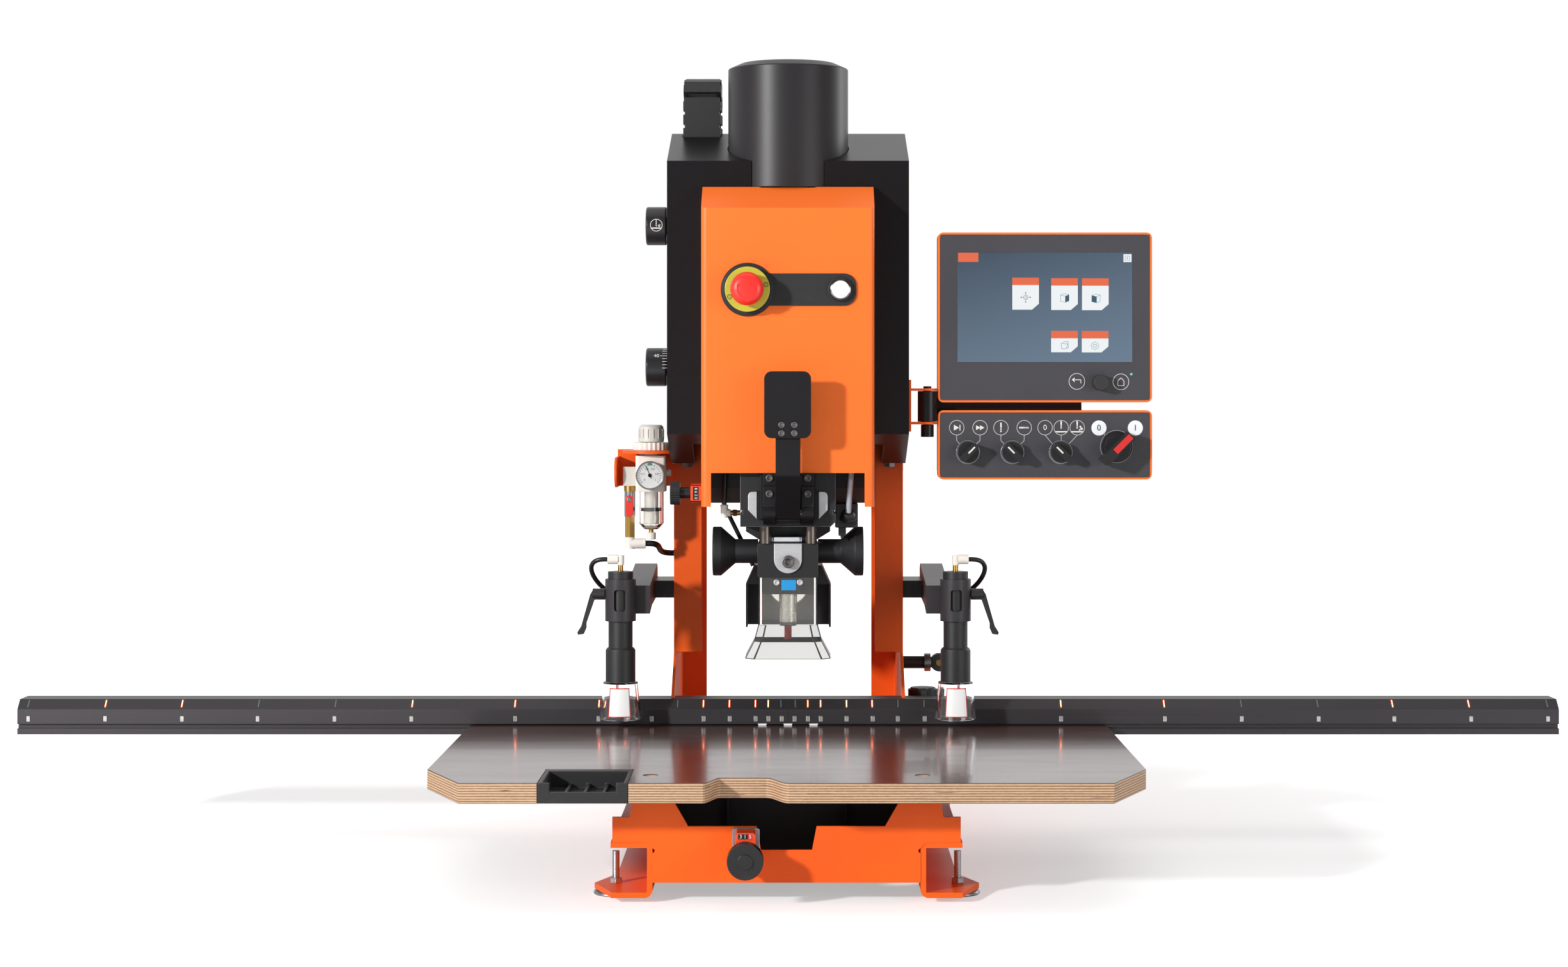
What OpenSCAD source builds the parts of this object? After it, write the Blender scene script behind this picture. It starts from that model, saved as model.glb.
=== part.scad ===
// Hinge boring machine for cabinet doors: table, fence with stop pins, air-lifted boring head.
// Millimetres. The origin is on the floor at the middle of the footprint, +Z up, front at -Y.

/* [Work table] */
// Width of the plywood table
table_w = 795; // [700:5:900]
// Depth of the table from its front edge to the fence
table_d = 507; // [460:1:560]
// Thickness of the plywood
table_t = 22; // [18:1:30]
// Height of the table's top over the floor
table_top = 143.5; // [138:0.5:160]
// Width of the bevelled front corners
corner_w = 47; // [20:1:80]
// Depth of the bevelled front corners
corner_d = 108; // [60:1:140]
// Depth of the hand recess over the front knob
recess_d = 40; // [25:1:50]
// Diameter of the two holes in the table
table_hole = 17; // [10:1:25]
// Distance of each hole from the middle
table_hole_x = 148; // [120:1:160]
// Width of the small parts tray
tray_w = 97; // [70:1:120]
// Depth of the small parts tray
tray_d = 108; // [80:1:130]
// Distance of the tray's middle from the machine's middle
tray_x = 217.5; // [210:1:260]

/* [Fence] */
// Length of the aluminium fence beam
fence_l = 1925; // [1600:5:2200]
// Height of the fence above the table's top
fence_rise = 31.5; // [26:0.5:40]
// Depth of the fence beam
fence_d = 50; // [40:1:60]
// Width of a stop pin
pin_w = 4.7; // [4:0.1:6]
// Height of a stop pin
pin_h = 7; // [5:0.5:9]
// Travel of the stop pins out of the fence
pin_out = 6; // [3:0.5:10]
// Hole grid that the stop pins follow
grid = 32; // [32:0.1:33]
// Clearance round a stop pin
pin_gap = 0.3; // [0.2:0.1:0.5]

/* [Base] */
// Depth of the base behind the fence
rear_d = 313; // [290:1:340]
// Outer height of a rail over the floor
rail_top = 67; // [60:1:75]
// Height of the rails over the floor
rail_z = 6; // [6:1:12]
// Width of a rail's flange
rail_w = 46; // [36:1:50]
// Sheet thickness of the rails
rail_t = 6; // [4:0.5:8]
// Bend radius of the rails
rail_r = 9; // [7:0.5:12]
// Sheet thickness of the cross plates
plate_t = 4; // [3:0.5:6]
// Diameter of a foot's disc
foot_dia = 50; // [40:1:60]
// Diameter of a foot's threaded stud
stud_dia = 8; // [6:1:10]
// Clearance round a stud
stud_gap = 0.4; // [0.2:0.1:0.6]

/* [Columns and casing] */
// Outer width over both columns
column_span = 294; // [280:1:310]
// Sheet thickness of a column
column_t = 4; // [3:0.5:5]
// Width of a column's flanges
flange_w = 36; // [25:1:45]
// Depth of a column
column_d = 195; // [180:1:205]
// Distance from the fence's face to the front of a column
column_back = 95; // [85:1:105]
// Height of the columns over the floor
column_top = 884; // [870:1:884]
// Sheet thickness of the casing
casing_t = 2; // [1.5:0.5:3]
// Height of the casing's flat top
casing_top = 890; // [888:1:900]
// Height of the casing's lower edge at the back
casing_foot = 469; // [460:1:480]

/* [Boring head] */
// Distance from the fence's face to the spindle's axis
spindle_set = 31.5; // [28:0.5:38]
// Stroke of the head
stroke = 101; // [70:1:101]
// Width of the head's front cover
cover_w = 210; // [190:1:220]
// Sheet thickness of the front cover
cover_t = 2; // [1.5:0.5:3]
// Diameter of the motor's fan cap
cap_dia = 150; // [140:1:152]
// Diameter of the motor
motor_dia = 120; // [100:1:126]
// Diameter of a lift rod
rod_dia = 16; // [12:1:20]
// Clearance between a lift rod and its bush
rod_gap = 0.3; // [0.2:0.1:0.4]
// Width of the cast gear housing
gear_w = 116; // [110:1:118]
// Width of the spindle block
block_w = 74; // [68:1:78]
// Diameter of the two guide rods
guide_dia = 14; // [10:1:16]
// Diameter of the spindle
spindle_dia = 22; // [18:1:26]
// Running clearance round the spindle
spindle_gap = 0.4; // [0.3:0.1:0.6]
// Diameter of the drill bit
bit_dia = 9; // [5:0.5:12]
// Diameter of a side handle's disc
grip_dia = 60.7; // [50:1:66]
// Width of the clear guard's box
guard_w = 72; // [66:1:76]
// Wall of the clear guard
guard_t = 2; // [1.5:0.5:3]
// Width of the guard's flared foot
guard_foot_w = 105; // [90:1:110]
// Width of the suction hood
hood_w = 108; // [100:1:112]

/* [Insertion arm] */
// Distance of the arm's middle from the machine's middle
arm_x = -6; // [-10:1:0]
// Width of the arm's strap
strap_w = 30; // [24:1:32]
// Width of the arm's plate
arm_plate_w = 56; // [46:1:64]
// Height of the arm's plate
arm_plate_h = 80; // [60:1:90]
// Thickness of the arm's strap
strap_t = 8; // [6:1:10]
// Diameter of the arm's pivot pin
pivot_dia = 10; // [8:1:12]
// Clearance round the pivot pin
pivot_gap = 0.3; // [0.2:0.1:0.5]

/* [Hold-downs] */
// Distance of a hold-down's axis from the machine's middle
hold_x = 207; // [200:1:220]
// Diameter of a hold-down's cylinder
hold_dia = 30; // [26:1:32]
// Diameter of the clamp collar
collar_dia = 38; // [36:1:42]
// Height of the clamp collar's lower edge
collar_z = 277; // [270:1:285]
// Height of the clamp collar
collar_h = 52; // [44:1:56]
// Diameter of the plunger's sleeve
sleeve_dia = 37; // [34:1:40]
// Travel of the plunger
hold_stroke = 11; // [6:1:11]
// Clearance between the cylinder and the sleeve
sleeve_gap = 0.4; // [0.3:0.1:0.6]

/* [Control panels] */
// Width of the upper panel
panel_w = 266; // [250:1:290]
// Height of the upper panel
panel_h = 211; // [190:1:230]
// Height of the switch panel
switch_h = 86; // [70:1:90]
// Depth of the panels
panel_d = 26; // [22:1:36]
// Width of the screen
screen_w = 217; // [180:1:230]
// Height of the screen
screen_h = 136; // [110:1:150]
// Diameter of the switches' rings
switch_dia = 29; // [26:1:32]
// Clearance round a control's shaft
control_gap = 0.3; // [0.2:0.1:0.5]

/* [Knobs and dials] */
// Diameter of the front knob
front_knob_dia = 40; // [34:1:46]
// Diameter of a depth dial
dial_dia = 48; // [40:1:54]
// Diameter of the side knob
side_knob_dia = 29; // [24:1:34]
// Diameter of the fence's clamp knob
clamp_dia = 38; // [32:1:42]

/* [Air service] */
// Width of the regulator's body
regulator_w = 38; // [34:1:40]
// Diameter of the filter's clear bowl
bowl_dia = 32; // [28:1:34]
// Diameter of the pressure gauge
gauge_dia = 36; // [32:1:38]
// Diameter of the regulator's knob
regulator_knob_dia = 32; // [28:1:36]

/* [Hidden] */
$fn = 48;

// Colours
orange = "#f26a1b";
black = "#1c1c1e";
dark = "#2a2a2c";
steel = "#b9b9bb";
brass = "#b89048";
clear = [0.85, 0.88, 0.88, 0.45];
white = "#e8e8e6";

// Planes that the pieces share
total_d = table_d + rear_d;
front_y = -total_d / 2;
fence_y = front_y + table_d;
rear_y = front_y + total_d;
table_low = table_top - table_t;
fence_top = table_top + fence_rise;
column_y = fence_y + column_back;
column_rear = column_y + column_d;
column_x = column_span / 2;
spindle_y = fence_y - spindle_set;

// Simple solids
module box(x, y, z) {
    translate([x[0], y[0], z[0]]) cube([x[1] - x[0], y[1] - y[0], z[1] - z[0]]);
}
module rod_x(r, x, y, z) {
    translate([x[0], y, z]) rotate([0, 90, 0]) cylinder(h = x[1] - x[0], r = r);
}
module rod_y(r, x, y, z) {
    translate([x, y[1], z]) rotate([90, 0, 0]) cylinder(h = y[1] - y[0], r = r);
}
module rod_z(r, x, y, z) {
    translate([x, y, z[0]]) cylinder(h = z[1] - z[0], r = r);
}
module both_sides() {
    children();
    mirror([1, 0, 0]) children();
}
// Outline drawn in (x, z), given a thickness along y
module plate_y(y) {
    translate([0, y[1], 0]) rotate([90, 0, 0]) linear_extrude(y[1] - y[0]) children();
}
// Outline drawn in (y, z), given a thickness along x
module plate_x(x) {
    translate([x[0], 0, 0]) rotate([90, 0, 90]) linear_extrude(x[1] - x[0]) children();
}
module rounded(x, y, r) {
    translate([x[0] + r, y[0]]) square([x[1] - x[0] - 2 * r, y[1] - y[0]]);
    translate([x[0], y[0] + r]) square([x[1] - x[0], y[1] - y[0] - 2 * r]);
    for (u = [x[0] + r, x[1] - r], v = [y[0] + r, y[1] - r]) translate([u, v]) circle(r);
}
module ring(r_out, r_in, h) {
    difference() {
        cylinder(h = h, r = r_out);
        translate([0, 0, -1]) cylinder(h = h + 2, r = r_in);
    }
}
module hex(across, h) {
    rotate(30) cylinder(h = h, d = across / cos(30), $fn = 6);
}
// Socket head screw along -Y, seated on a face at y
module socket_screw(x, y, z, d, h) {
    difference() {
        rod_y(d / 2, x, [y - h, y], z);
        translate([x, y - h - 1, z]) rotate([-90, 0, 0]) hex(d * 0.5, h * 0.6 + 1);
    }
}

// Round tube swept along chosen points
function unit(v) = v / norm(v);
function along(p, i) =
    i == 0 ? unit(p[1] - p[0]) :
    i == len(p) - 1 ? unit(p[i] - p[i - 1]) :
    unit(unit(p[i] - p[i - 1]) + unit(p[i + 1] - p[i]));
function square_to(n, t) = unit(n - (n * t) * t);
function first_normal(t) = square_to(abs(t[2]) > 0.9 ? [1, 0, 0] : [0, 0, 1], t);
function normals(p, i) =
    i == 0 ? [first_normal(along(p, 0))] :
    let (before = normals(p, i - 1))
    concat(before, [square_to(before[i - 1], along(p, i))]);
module tube(p, r, sides = 8) {
    n = len(p);
    u = normals(p, n - 1);
    points = [for (i = [0:n - 1]) let (t = along(p, i), v = cross(t, u[i]))
        for (k = [0:sides - 1])
            p[i] + r * (cos(360 * k / sides) * u[i] + sin(360 * k / sides) * v)];
    walls = [for (i = [0:n - 2], k = [0:sides - 1]) let (m = (k + 1) % sides)
        each [[i * sides + k, (i + 1) * sides + k, (i + 1) * sides + m],
              [i * sides + k, (i + 1) * sides + m, i * sides + m]]];
    start = [for (k = [1:sides - 2]) [0, k, k + 1]];
    last = (n - 1) * sides;
    finish = [for (k = [1:sides - 2]) [last, last + k + 1, last + k]];
    polyhedron(points, concat(walls, start, finish));
}
// Smooth stretch between two points: leaves a along u and reaches b along v
function bend(a, u, b, v, steps) = concat([a], curve(a + u / 8, u, b - v / 8, v, steps), [b]);
function curve(a, u, b, v, steps) = [for (i = [0:steps]) let (s = i / steps, q = 1 - s)
    q * q * q * a + 3 * q * q * s * (a + u) + 3 * q * s * s * (b - v) + s * s * s * b];

// Base rails: two folded C-channels, open outwards, with a pointed tab at each foot
rail_x = column_x;
rail_out = rail_x + rail_w;
foot_x = rail_out - 2;
foot_front = fence_y - 365;
foot_rear = fence_y + 243;
tab_reach = 22;
tab_half = 61;
bolt_dia = 8;
bolt_gap = 0.4;
rail_bolt_y = [fence_y - 265, fence_y - 120, fence_y + 40];
module rail_profile() {
    difference() {
        union() {
            translate([rail_x + rail_r, rail_z]) square([rail_w - rail_r, rail_top - rail_z]);
            translate([rail_x, rail_z + rail_r]) square([rail_w, rail_top - rail_z - 2 * rail_r]);
            for (z = [rail_z + rail_r, rail_top - rail_r]) translate([rail_x + rail_r, z]) circle(rail_r);
        }
        translate([rail_x + rail_t, rail_z + rail_t]) square([rail_w, rail_top - rail_z - 2 * rail_t]);
    }
}
module foot_tab(y) {
    translate([0, 0, rail_z]) linear_extrude(rail_t)
        polygon([[rail_out - 1, y - tab_half], [rail_out + tab_reach, y], [rail_out - 1, y + tab_half]]);
}
module base_rails() color(orange) both_sides() difference() {
    union() {
        plate_y([front_plate_y + 1, rear_y]) rail_profile();
        foot_tab(foot_front);
        foot_tab(foot_rear);
    }
    for (y = [foot_front, foot_rear])
        rod_z(stud_dia / 2 + stud_gap, foot_x, y, [rail_z - 1, rail_z + rail_t + 1]);
    for (y = rail_bolt_y)
        rod_z(bolt_dia / 2 + bolt_gap, rail_x + 26, y, [rail_top - rail_t - 1, rail_top + 1]);
}

// Cross plates: front plate with its knob notch, rear plate, and the gussets under the table
front_setback = 79;
front_plate_y = front_y + front_setback;
ear_z = rail_top + 28;
shoulder_x = rail_x - 18;
notch_w = 66;
notch_z = rail_z + 53;
plate_low = rail_z + 17;
module front_outline() {
    both_sides() difference() {
        polygon([
            [0, plate_low], [rail_x, plate_low], [rail_x, rail_top - rail_r],
            [rail_x + rail_r, rail_top], [rail_out - 2, rail_top], [rail_out - 2, ear_z],
            [rail_x + 25, ear_z], [rail_x + 21, table_low], [shoulder_x, table_low],
            [shoulder_x - 21, ear_z - 10], [notch_w / 2, ear_z - 10],
            [notch_w / 2 - 5, notch_z], [0, notch_z]
        ]);
        translate([rail_x + rail_r, rail_top - rail_r]) circle(rail_r);
        translate([rail_x, rail_top - rail_r]) circle(2.5);
    }
}
gusset_rear = fence_y - 4;
rear_plate_y = column_rear - column_t - plate_t;
module gusset_outline() {
    difference() {
        polygon([
            [front_plate_y + plate_t, rail_top], [gusset_rear, rail_top], [gusset_rear, table_low],
            [front_plate_y + plate_t, table_low]
        ]);
        for (y = [front_plate_y + 70 : 100 : gusset_rear - 60])
            translate([y, (rail_top + table_low) / 2]) circle((table_low - rail_top) / 2 - 12);
    }
}
module cross_plates() color(orange) {
    difference() {
        plate_y([front_plate_y, front_plate_y + plate_t]) front_outline();
        rod_y(shaft_r + control_gap, front_knob_x, [front_plate_y - 1, front_plate_y + plate_t + 1],
            front_knob_z);
    }
    difference() {
        box([-column_x + column_t, column_x - column_t], [rear_plate_y, rear_plate_y + plate_t],
            [plate_low, ear_z]);
        for (x = [-90, 0, 90])
            rod_y(20, x, [rear_plate_y - 1, rear_plate_y + plate_t + 1], (plate_low + ear_z) / 2);
    }
    both_sides() {
        plate_x([rail_x + 11, rail_x + 11 + plate_t]) gusset_outline();
        box([shoulder_x - 40, rail_x + 11], [gusset_rear - plate_t, gusset_rear], [ear_z, table_low]);
        box([rail_x + 11, rail_x + 30], [front_plate_y + plate_t, gusset_rear],
            [table_low - plate_t, table_low]);
    }
}

// Levelling feet: disc, stud and nut at the four tabs
foot_disc_h = 5;
module foot(y) {
    translate([foot_x, y, 0]) {
        rotate_extrude() polygon([
            [0, 0], [foot_dia / 2 - 1, 0], [foot_dia / 2, 1], [foot_dia / 2, foot_disc_h - 2],
            [foot_dia / 2 - 2, foot_disc_h], [stud_dia, foot_disc_h], [stud_dia * 0.8, rail_z], [0, rail_z]
        ]);
        translate([0, 0, rail_z - 1]) cylinder(h = 43, d = stud_dia);
        translate([0, 0, rail_z + rail_t]) difference() {
            hex(stud_dia * 1.6, stud_dia * 0.8);
            translate([0, 0, -1]) cylinder(h = stud_dia, d = stud_dia - 1);
        }
    }
}
module levelling_feet() color(steel) both_sides() {
    foot(foot_front);
    foot(foot_rear);
}

// Columns: two folded channels, open inwards, that flare forward under the fence
flare_z = fence_top + 51;
module web_outline() {
    polygon([
        [column_y, column_top], [column_y, flare_z], [fence_y + 19, fence_top + 2],
        [fence_y + 19, fence_top], [fence_y + fence_d, fence_top], [fence_y + fence_d, table_low - 12],
        [column_y, rail_top], [column_y, plate_low], [column_rear, plate_low], [column_rear, column_top]
    ]);
}
module columns() color(orange) both_sides() {
    plate_x([column_x - column_t, column_x]) web_outline();
    box([column_x - flange_w, column_x], [column_y, column_y + column_t], [flare_z, column_top]);
    box([column_x - flange_w, column_x], [column_rear - column_t, column_rear], [plate_low, column_top]);
}

// Casing: folded shell over the columns, with the slot that the motor slides in
casing_x = column_x + casing_t;
casing_y = fence_y - 50;
casing_front_z = [casing_foot + 39, casing_top - 45.4];
casing_rear = column_rear + casing_t;
cap_gap = 1;
cap_y = spindle_y + 43.5;
module casing_outline(t, floor) {
    polygon(concat([
        [casing_y + t, casing_front_z[0] + 1.3 * t], [casing_y + t, casing_front_z[1] - t],
        [cap_y + cap_dia / 2 + 0.3 * t, casing_top - t], [casing_rear - t, casing_top - t]
    ], floor, [[fence_y + 68, casing_foot + t]]));
}
motor_slot = sqrt(pow(cap_dia / 2 + cap_gap, 2) - pow(cap_y - casing_y - casing_t / 2, 2));
gear_slot = gear_w / 2 + 4;
gear_slot_top = 690;
module casing() color(black) difference() {
    plate_x([-casing_x, casing_x]) casing_outline(0, [[casing_rear, casing_foot]]);
    plate_x([-casing_x + casing_t, casing_x - casing_t]) casing_outline(casing_t, [
        [casing_rear - casing_t, casing_foot - 1], [column_y, casing_foot - 1],
        [column_y, casing_foot + casing_t]
    ]);
    rod_z(cap_dia / 2 + cap_gap, 0, cap_y, [casing_front_z[1] - 20, casing_top + 1]);
    box([-motor_slot, motor_slot], [casing_y - 1, cap_y], [gear_slot_top - 1, casing_top]);
    box([-gear_slot, gear_slot], [casing_y - 1, casing_y + 60], [casing_foot, gear_slot_top]);
    box([-casing_x + 30, casing_x - 30], [casing_y + 40, column_y + 1],
        [casing_foot - 1, casing_front_z[0]]);
    for (y = [chain_y, chain_y + 2 * chain_arc])
        box([chain_x - chain_w / 2 - 1, chain_x + chain_w / 2 + 1],
            [y - link_t / 2 - 1, y + link_t / 2 + 1],
            [casing_top - 10, casing_top + 1]);
    for (z = dial_z) rod_x(dial_shaft + control_gap, [-casing_x - 1, -casing_x + casing_t + 1], dial_y, z);
}

// Lift frame: cross plates between the columns with the two hardened rods
lift_y = column_y + 23;
lift_x = 92;
lift_low = 484;
lift_high = 872;
lift_plate = 12;
module lift_frame() color(steel) {
    for (z = [lift_low, lift_high])
        box([-column_x + column_t, column_x - column_t], [column_y + 8, column_y + 108],
            [z, z + lift_plate]);
    both_sides() rod_z(rod_dia / 2, lift_x, lift_y, [lift_low, lift_high + lift_plate]);
}

// Lift cylinder: closed barrel that hangs from the upper cross plate
lift_bore = 40;
lift_wall = 5;
piston_rod = 16;
carriage_top = 690;
barrel_low = carriage_top + 16;
module lift_cylinder() color(steel) difference() {
    rod_z(lift_bore / 2 + lift_wall, 0, lift_y, [barrel_low, lift_high]);
    rod_z(lift_bore / 2, 0, lift_y, [barrel_low + 12, lift_high - 12]);
    rod_z(piston_rod / 2 + rod_gap, 0, lift_y, [barrel_low - 1, barrel_low + 13]);
}

// Work table: film-faced plywood with bevelled corners, knob recess and the tray's cut-out
recess_x = [-89, 3];
recess_flat = [-71.5, -22];
tray_x0 = -tray_x - tray_w / 2;
tray_x1 = -tray_x + tray_w / 2;
tray_lip = 0.4;
curve_steps = 8;
function s_curve(x0, x1, y0, y1) = [for (i = [0:curve_steps]) let (s = i / curve_steps)
    [x0 + (x1 - x0) * s, y0 + (y1 - y0) * (1 - cos(180 * s)) / 2]];
module table_outline() {
    polygon(concat(
        [[-table_w / 2, fence_y], [-table_w / 2, front_y + corner_d], [-table_w / 2 + corner_w, front_y]],
        s_curve(recess_x[0], recess_flat[0], front_y, front_y + recess_d),
        s_curve(recess_flat[1], recess_x[1], front_y + recess_d, front_y),
        [[table_w / 2 - corner_w, front_y], [table_w / 2, front_y + corner_d], [table_w / 2, fence_y]]
    ));
}
module work_table() color("#5b2d1c") difference() {
    translate([0, 0, table_low]) linear_extrude(table_t) table_outline();
    box([tray_x0 - tray_lip, tray_x1 + tray_lip], [front_y - 1, front_y + tray_d + tray_lip],
        [table_low - 1, table_top + 1]);
    both_sides() rod_z(table_hole / 2, table_hole_x, front_y + 61, [table_low - 1, table_top + 1]);
}

// Parts tray: moulded box let into the table's front edge, with ribs in its floor
tray_wall = 5;
tray_floor = 3;
tray_hang = 14;
tray_rib = 4;
module parts_tray() color(black) {
    difference() {
        box([tray_x0, tray_x1], [front_y, front_y + tray_d], [table_low, table_top]);
        box([tray_x0 + tray_wall, tray_x1 - tray_wall], [front_y + tray_wall, front_y + tray_d - tray_hang],
            [table_low + tray_floor, table_top + 1]);
        box([tray_x0 + tray_wall + 8, tray_x1 - tray_wall - 8], [front_y - 1, front_y + tray_wall + 1],
            [table_top - 10, table_top + 1]);
    }
    for (x = [tray_x0 + 28, -tray_x, tray_x1 - 28])
        box([x - tray_rib / 2, x + tray_rib / 2],
            [front_y + tray_wall - 0.5, front_y + tray_d - tray_hang + 0.5],
            [table_low + tray_floor - 0.5, table_low + tray_floor + 5]);
    both_sides_of(-tray_x) box([tray_x0 - 12, tray_x0 + 4], [front_y + 20, front_y + 70],
        [table_low - 3, table_low]);
}
module both_sides_of(x) {
    children();
    translate([2 * x, 0, 0]) mirror([1, 0, 0]) children();
}

// Fence: extruded aluminium beam with a bevelled light strip, a recess and a foot bar
stop_pairs = [0.25, 0.77, 1.27, 2.28, 3.3, 5.33, 6.34, 10.65, 14.7, 17.7, 20.7, 23.65, 26.65, 29.65];
end_gap = 10;
stop_x = [for (i = concat(stop_pairs, -stop_pairs, [-7.4, 4.28]))
    if (abs(i * grid) < fence_l / 2 - end_gap) i * grid];
pin_z = table_top + 8;
bar_z = table_top - 11.5;
bevel_rise = 10.5;
bevel_d = 11.5;
module fence_profile() {
    difference() {
        polygon([
            [fence_y, table_top + 1.5], [fence_y, fence_top - 11.5], [fence_y + 1, fence_top - bevel_rise],
            [fence_y + 1 + bevel_d, fence_top], [fence_y + fence_d, fence_top],
            [fence_y + fence_d, bar_z], [fence_y, bar_z], [fence_y, table_low + 18],
            [fence_y + 5, table_low + 18], [fence_y + 5, table_top + 1.5]
        ]);
        translate([fence_y + 20, table_low + 14]) square([fence_d - 24, fence_rise - 2]);
    }
}
module ruler_beam() color(dark) {
    fence_body();
    clamp_bracket();
}
module fence_body() difference() {
    translate([-fence_l / 2, 0, 0]) rotate([90, 0, 90]) linear_extrude(fence_l) fence_profile();
    for (x = stop_x)
        box([x - pin_w / 2 - pin_gap, x + pin_w / 2 + pin_gap], [fence_y - 1, fence_y + 19],
            [pin_z - pin_h / 2 - pin_gap, pin_z + pin_h / 2 + pin_gap]);
    for (x = [-grid, 0, grid]) rod_y(5, x, [fence_y - 1, fence_y + 3], bar_z);
}
module stop_pins() color(steel) for (x = stop_x)
    box([x - pin_w / 2, x + pin_w / 2], [fence_y - 0.7, fence_y + 18],
        [pin_z - pin_h / 2, pin_z + pin_h / 2]);

// Front knob with its position counter, on a bearing plate fixed to the front cross plate
front_knob_x = -44.5;
front_knob_z = rail_top - 12.5;
shaft_r = 4;
counter_size = [24, 30, 38];
bearing_plate = [30, 45];
plate_step = 5;
counter_low = front_knob_z - 13;
module knurled(r, h, n, depth) {
    linear_extrude(h)
        polygon([for (i = [0:2 * n - 1]) (i % 2 == 0 ? r : r - depth) * [cos(180 * i / n),
            sin(180 * i / n)]]);
}
module front_counter() {
    color(steel) difference() {
        box([front_knob_x - bearing_plate[0] / 2, front_knob_x + bearing_plate[0] / 2],
            [front_plate_y - plate_step, front_plate_y],
            [counter_low - 3, counter_low - 3 + bearing_plate[1]]);
        rod_y(shaft_r + control_gap, front_knob_x, [front_plate_y - plate_step - 1, front_plate_y + 1],
            front_knob_z);
    }
    color(orange) difference() {
        plate_y([front_plate_y - plate_step - counter_size[1], front_plate_y - plate_step])
            rounded([front_knob_x - counter_size[0] / 2, front_knob_x + counter_size[0] / 2],
                [counter_low, counter_low + counter_size[2]], 3);
        rod_y(shaft_r + control_gap, front_knob_x,
            [front_plate_y - plate_step - counter_size[1] - 1, front_plate_y], front_knob_z);
        box([front_knob_x - 8, front_knob_x + 8],
            [front_plate_y - plate_step - counter_size[1] - 1,
                front_plate_y - plate_step - counter_size[1] + 1],
            [counter_low + 25, counter_low + 33]);
    }
}
knob_depth = 18;
knob_gap = 1;
knob_ribs = 40;
knob_back = front_plate_y - plate_step - counter_size[1] - knob_gap;
module front_knob() color(black) {
    translate([front_knob_x, knob_back, front_knob_z]) rotate([90, 0, 0]) {
        knurled(front_knob_dia / 2, knob_depth, knob_ribs, 0.7);
        cylinder(h = knob_depth + 2, d = front_knob_dia * 0.41);
    }
    rod_y(shaft_r, front_knob_x, [knob_back - 1, front_plate_y + 24], front_knob_z);
}

// Boring head, front cover: folded sheet with a sloped top and two side strips
cover_x = cover_w / 2;
cover_front = casing_y - 58;
cover_back = casing_y - 1.5;
cover_z = [462, 783];
cover_slope = 29;
strip_low = 421;
strip_w = 12;
cover_r = 7;
module cover_side(t) {
    polygon([
        [cover_front + t, strip_low - 1], [cover_front + t, cover_z[1] - t],
        [cover_back - 3.5, cover_z[1] + cover_slope - t], [cover_back, cover_z[1] + cover_slope - t],
        [cover_back, strip_low - 1]
    ]);
}
module cover_plan(t) {
    r = cover_r - t;
    translate([0, 0, strip_low - 2]) linear_extrude(cover_z[1] + cover_slope - strip_low + 4)
        difference() {
            translate([-cover_x + t, cover_front + t]) square([2 * (cover_x - t),
                cover_back - cover_front - t + 1]);
            both_sides() difference() {
                translate([cover_x - cover_r - 0.01, cover_front - 1]) square([cover_r + 1, cover_r + 1]);
                translate([cover_x - cover_r, cover_front + cover_r]) circle(r);
            }
        }
}
module head_cover() color(orange) difference() {
    intersection() {
        plate_x([-cover_x, cover_x]) cover_side(0);
        cover_plan(0);
    }
    intersection() {
        plate_x([-cover_x, cover_x]) cover_side(cover_t);
        translate([0, 0, -0.01]) cover_plan(cover_t);
        box([-cover_x, cover_x], [cover_front, cover_back + 2], [strip_low - 3, cover_z[1] + cover_slope]);
    }
    box([-cover_x + strip_w, cover_x - strip_w], [cover_front - 1, cover_front + cover_r],
        [strip_low - 2, cover_z[0]]);
    box([-cover_x - 1, cover_x + 1], [cover_front - 1, cover_back + 1], [strip_low - 2, strip_low]);
    rod_x(side_shaft + control_gap, [-cover_x - 1, -cover_x + cover_t + 1], side_y, side_z);
    rod_z(cap_dia / 2 + cap_gap, 0, cap_y, [cap_low - 1, cover_z[1] + cover_slope + 1]);
    for (x = [estop_x, start_x]) rod_y(button_hole, x, [cover_front - 1, cover_front + cover_t + 1],
        button_z);
}

// Motor with its fan cap
cap_top = 970;
cap_rim = cap_top - 7;
cap_low = cover_z[1] + cover_slope;
cap_wall = 2.5;
cap_flat = 0.79;
head_plate_z = 560;
head_plate_t = 12;
module motor_cap() color(black) translate([0, cap_y, 0]) rotate_extrude() polygon([
    [motor_dia / 2 + 0.3, cap_low], [cap_dia / 2, cap_low], [cap_dia / 2, cap_rim],
    [cap_dia / 2 * cap_flat, cap_top], [0, cap_top], [0, cap_top - cap_wall],
    [cap_dia / 2 * cap_flat - 1, cap_top - cap_wall], [cap_dia / 2 - cap_wall, cap_rim - 1.5],
    [cap_dia / 2 - cap_wall, cap_low + 4], [motor_dia / 2 + 0.3, cap_low + 4]
]);
motor_top = 940;
fins = 24;
module motor() color(steel) translate([0, cap_y, 0]) {
    difference() {
        translate([0, 0, head_plate_z + head_plate_t])
            cylinder(h = motor_top - head_plate_z - head_plate_t, d = motor_dia);
        for (i = [0:fins - 1]) rotate(360 * (i + 0.5) / fins)
            translate([motor_dia / 2 - 4, -2, head_plate_z + head_plate_t + 20])
                cube([6, 4, cap_low - head_plate_z - head_plate_t - 40]);
    }
    translate([0, 0, motor_top]) cylinder(h = 16, d = 14);
    translate([0, 0, motor_top + 4]) cylinder(h = 10, d = motor_dia * 0.8);
}

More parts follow.
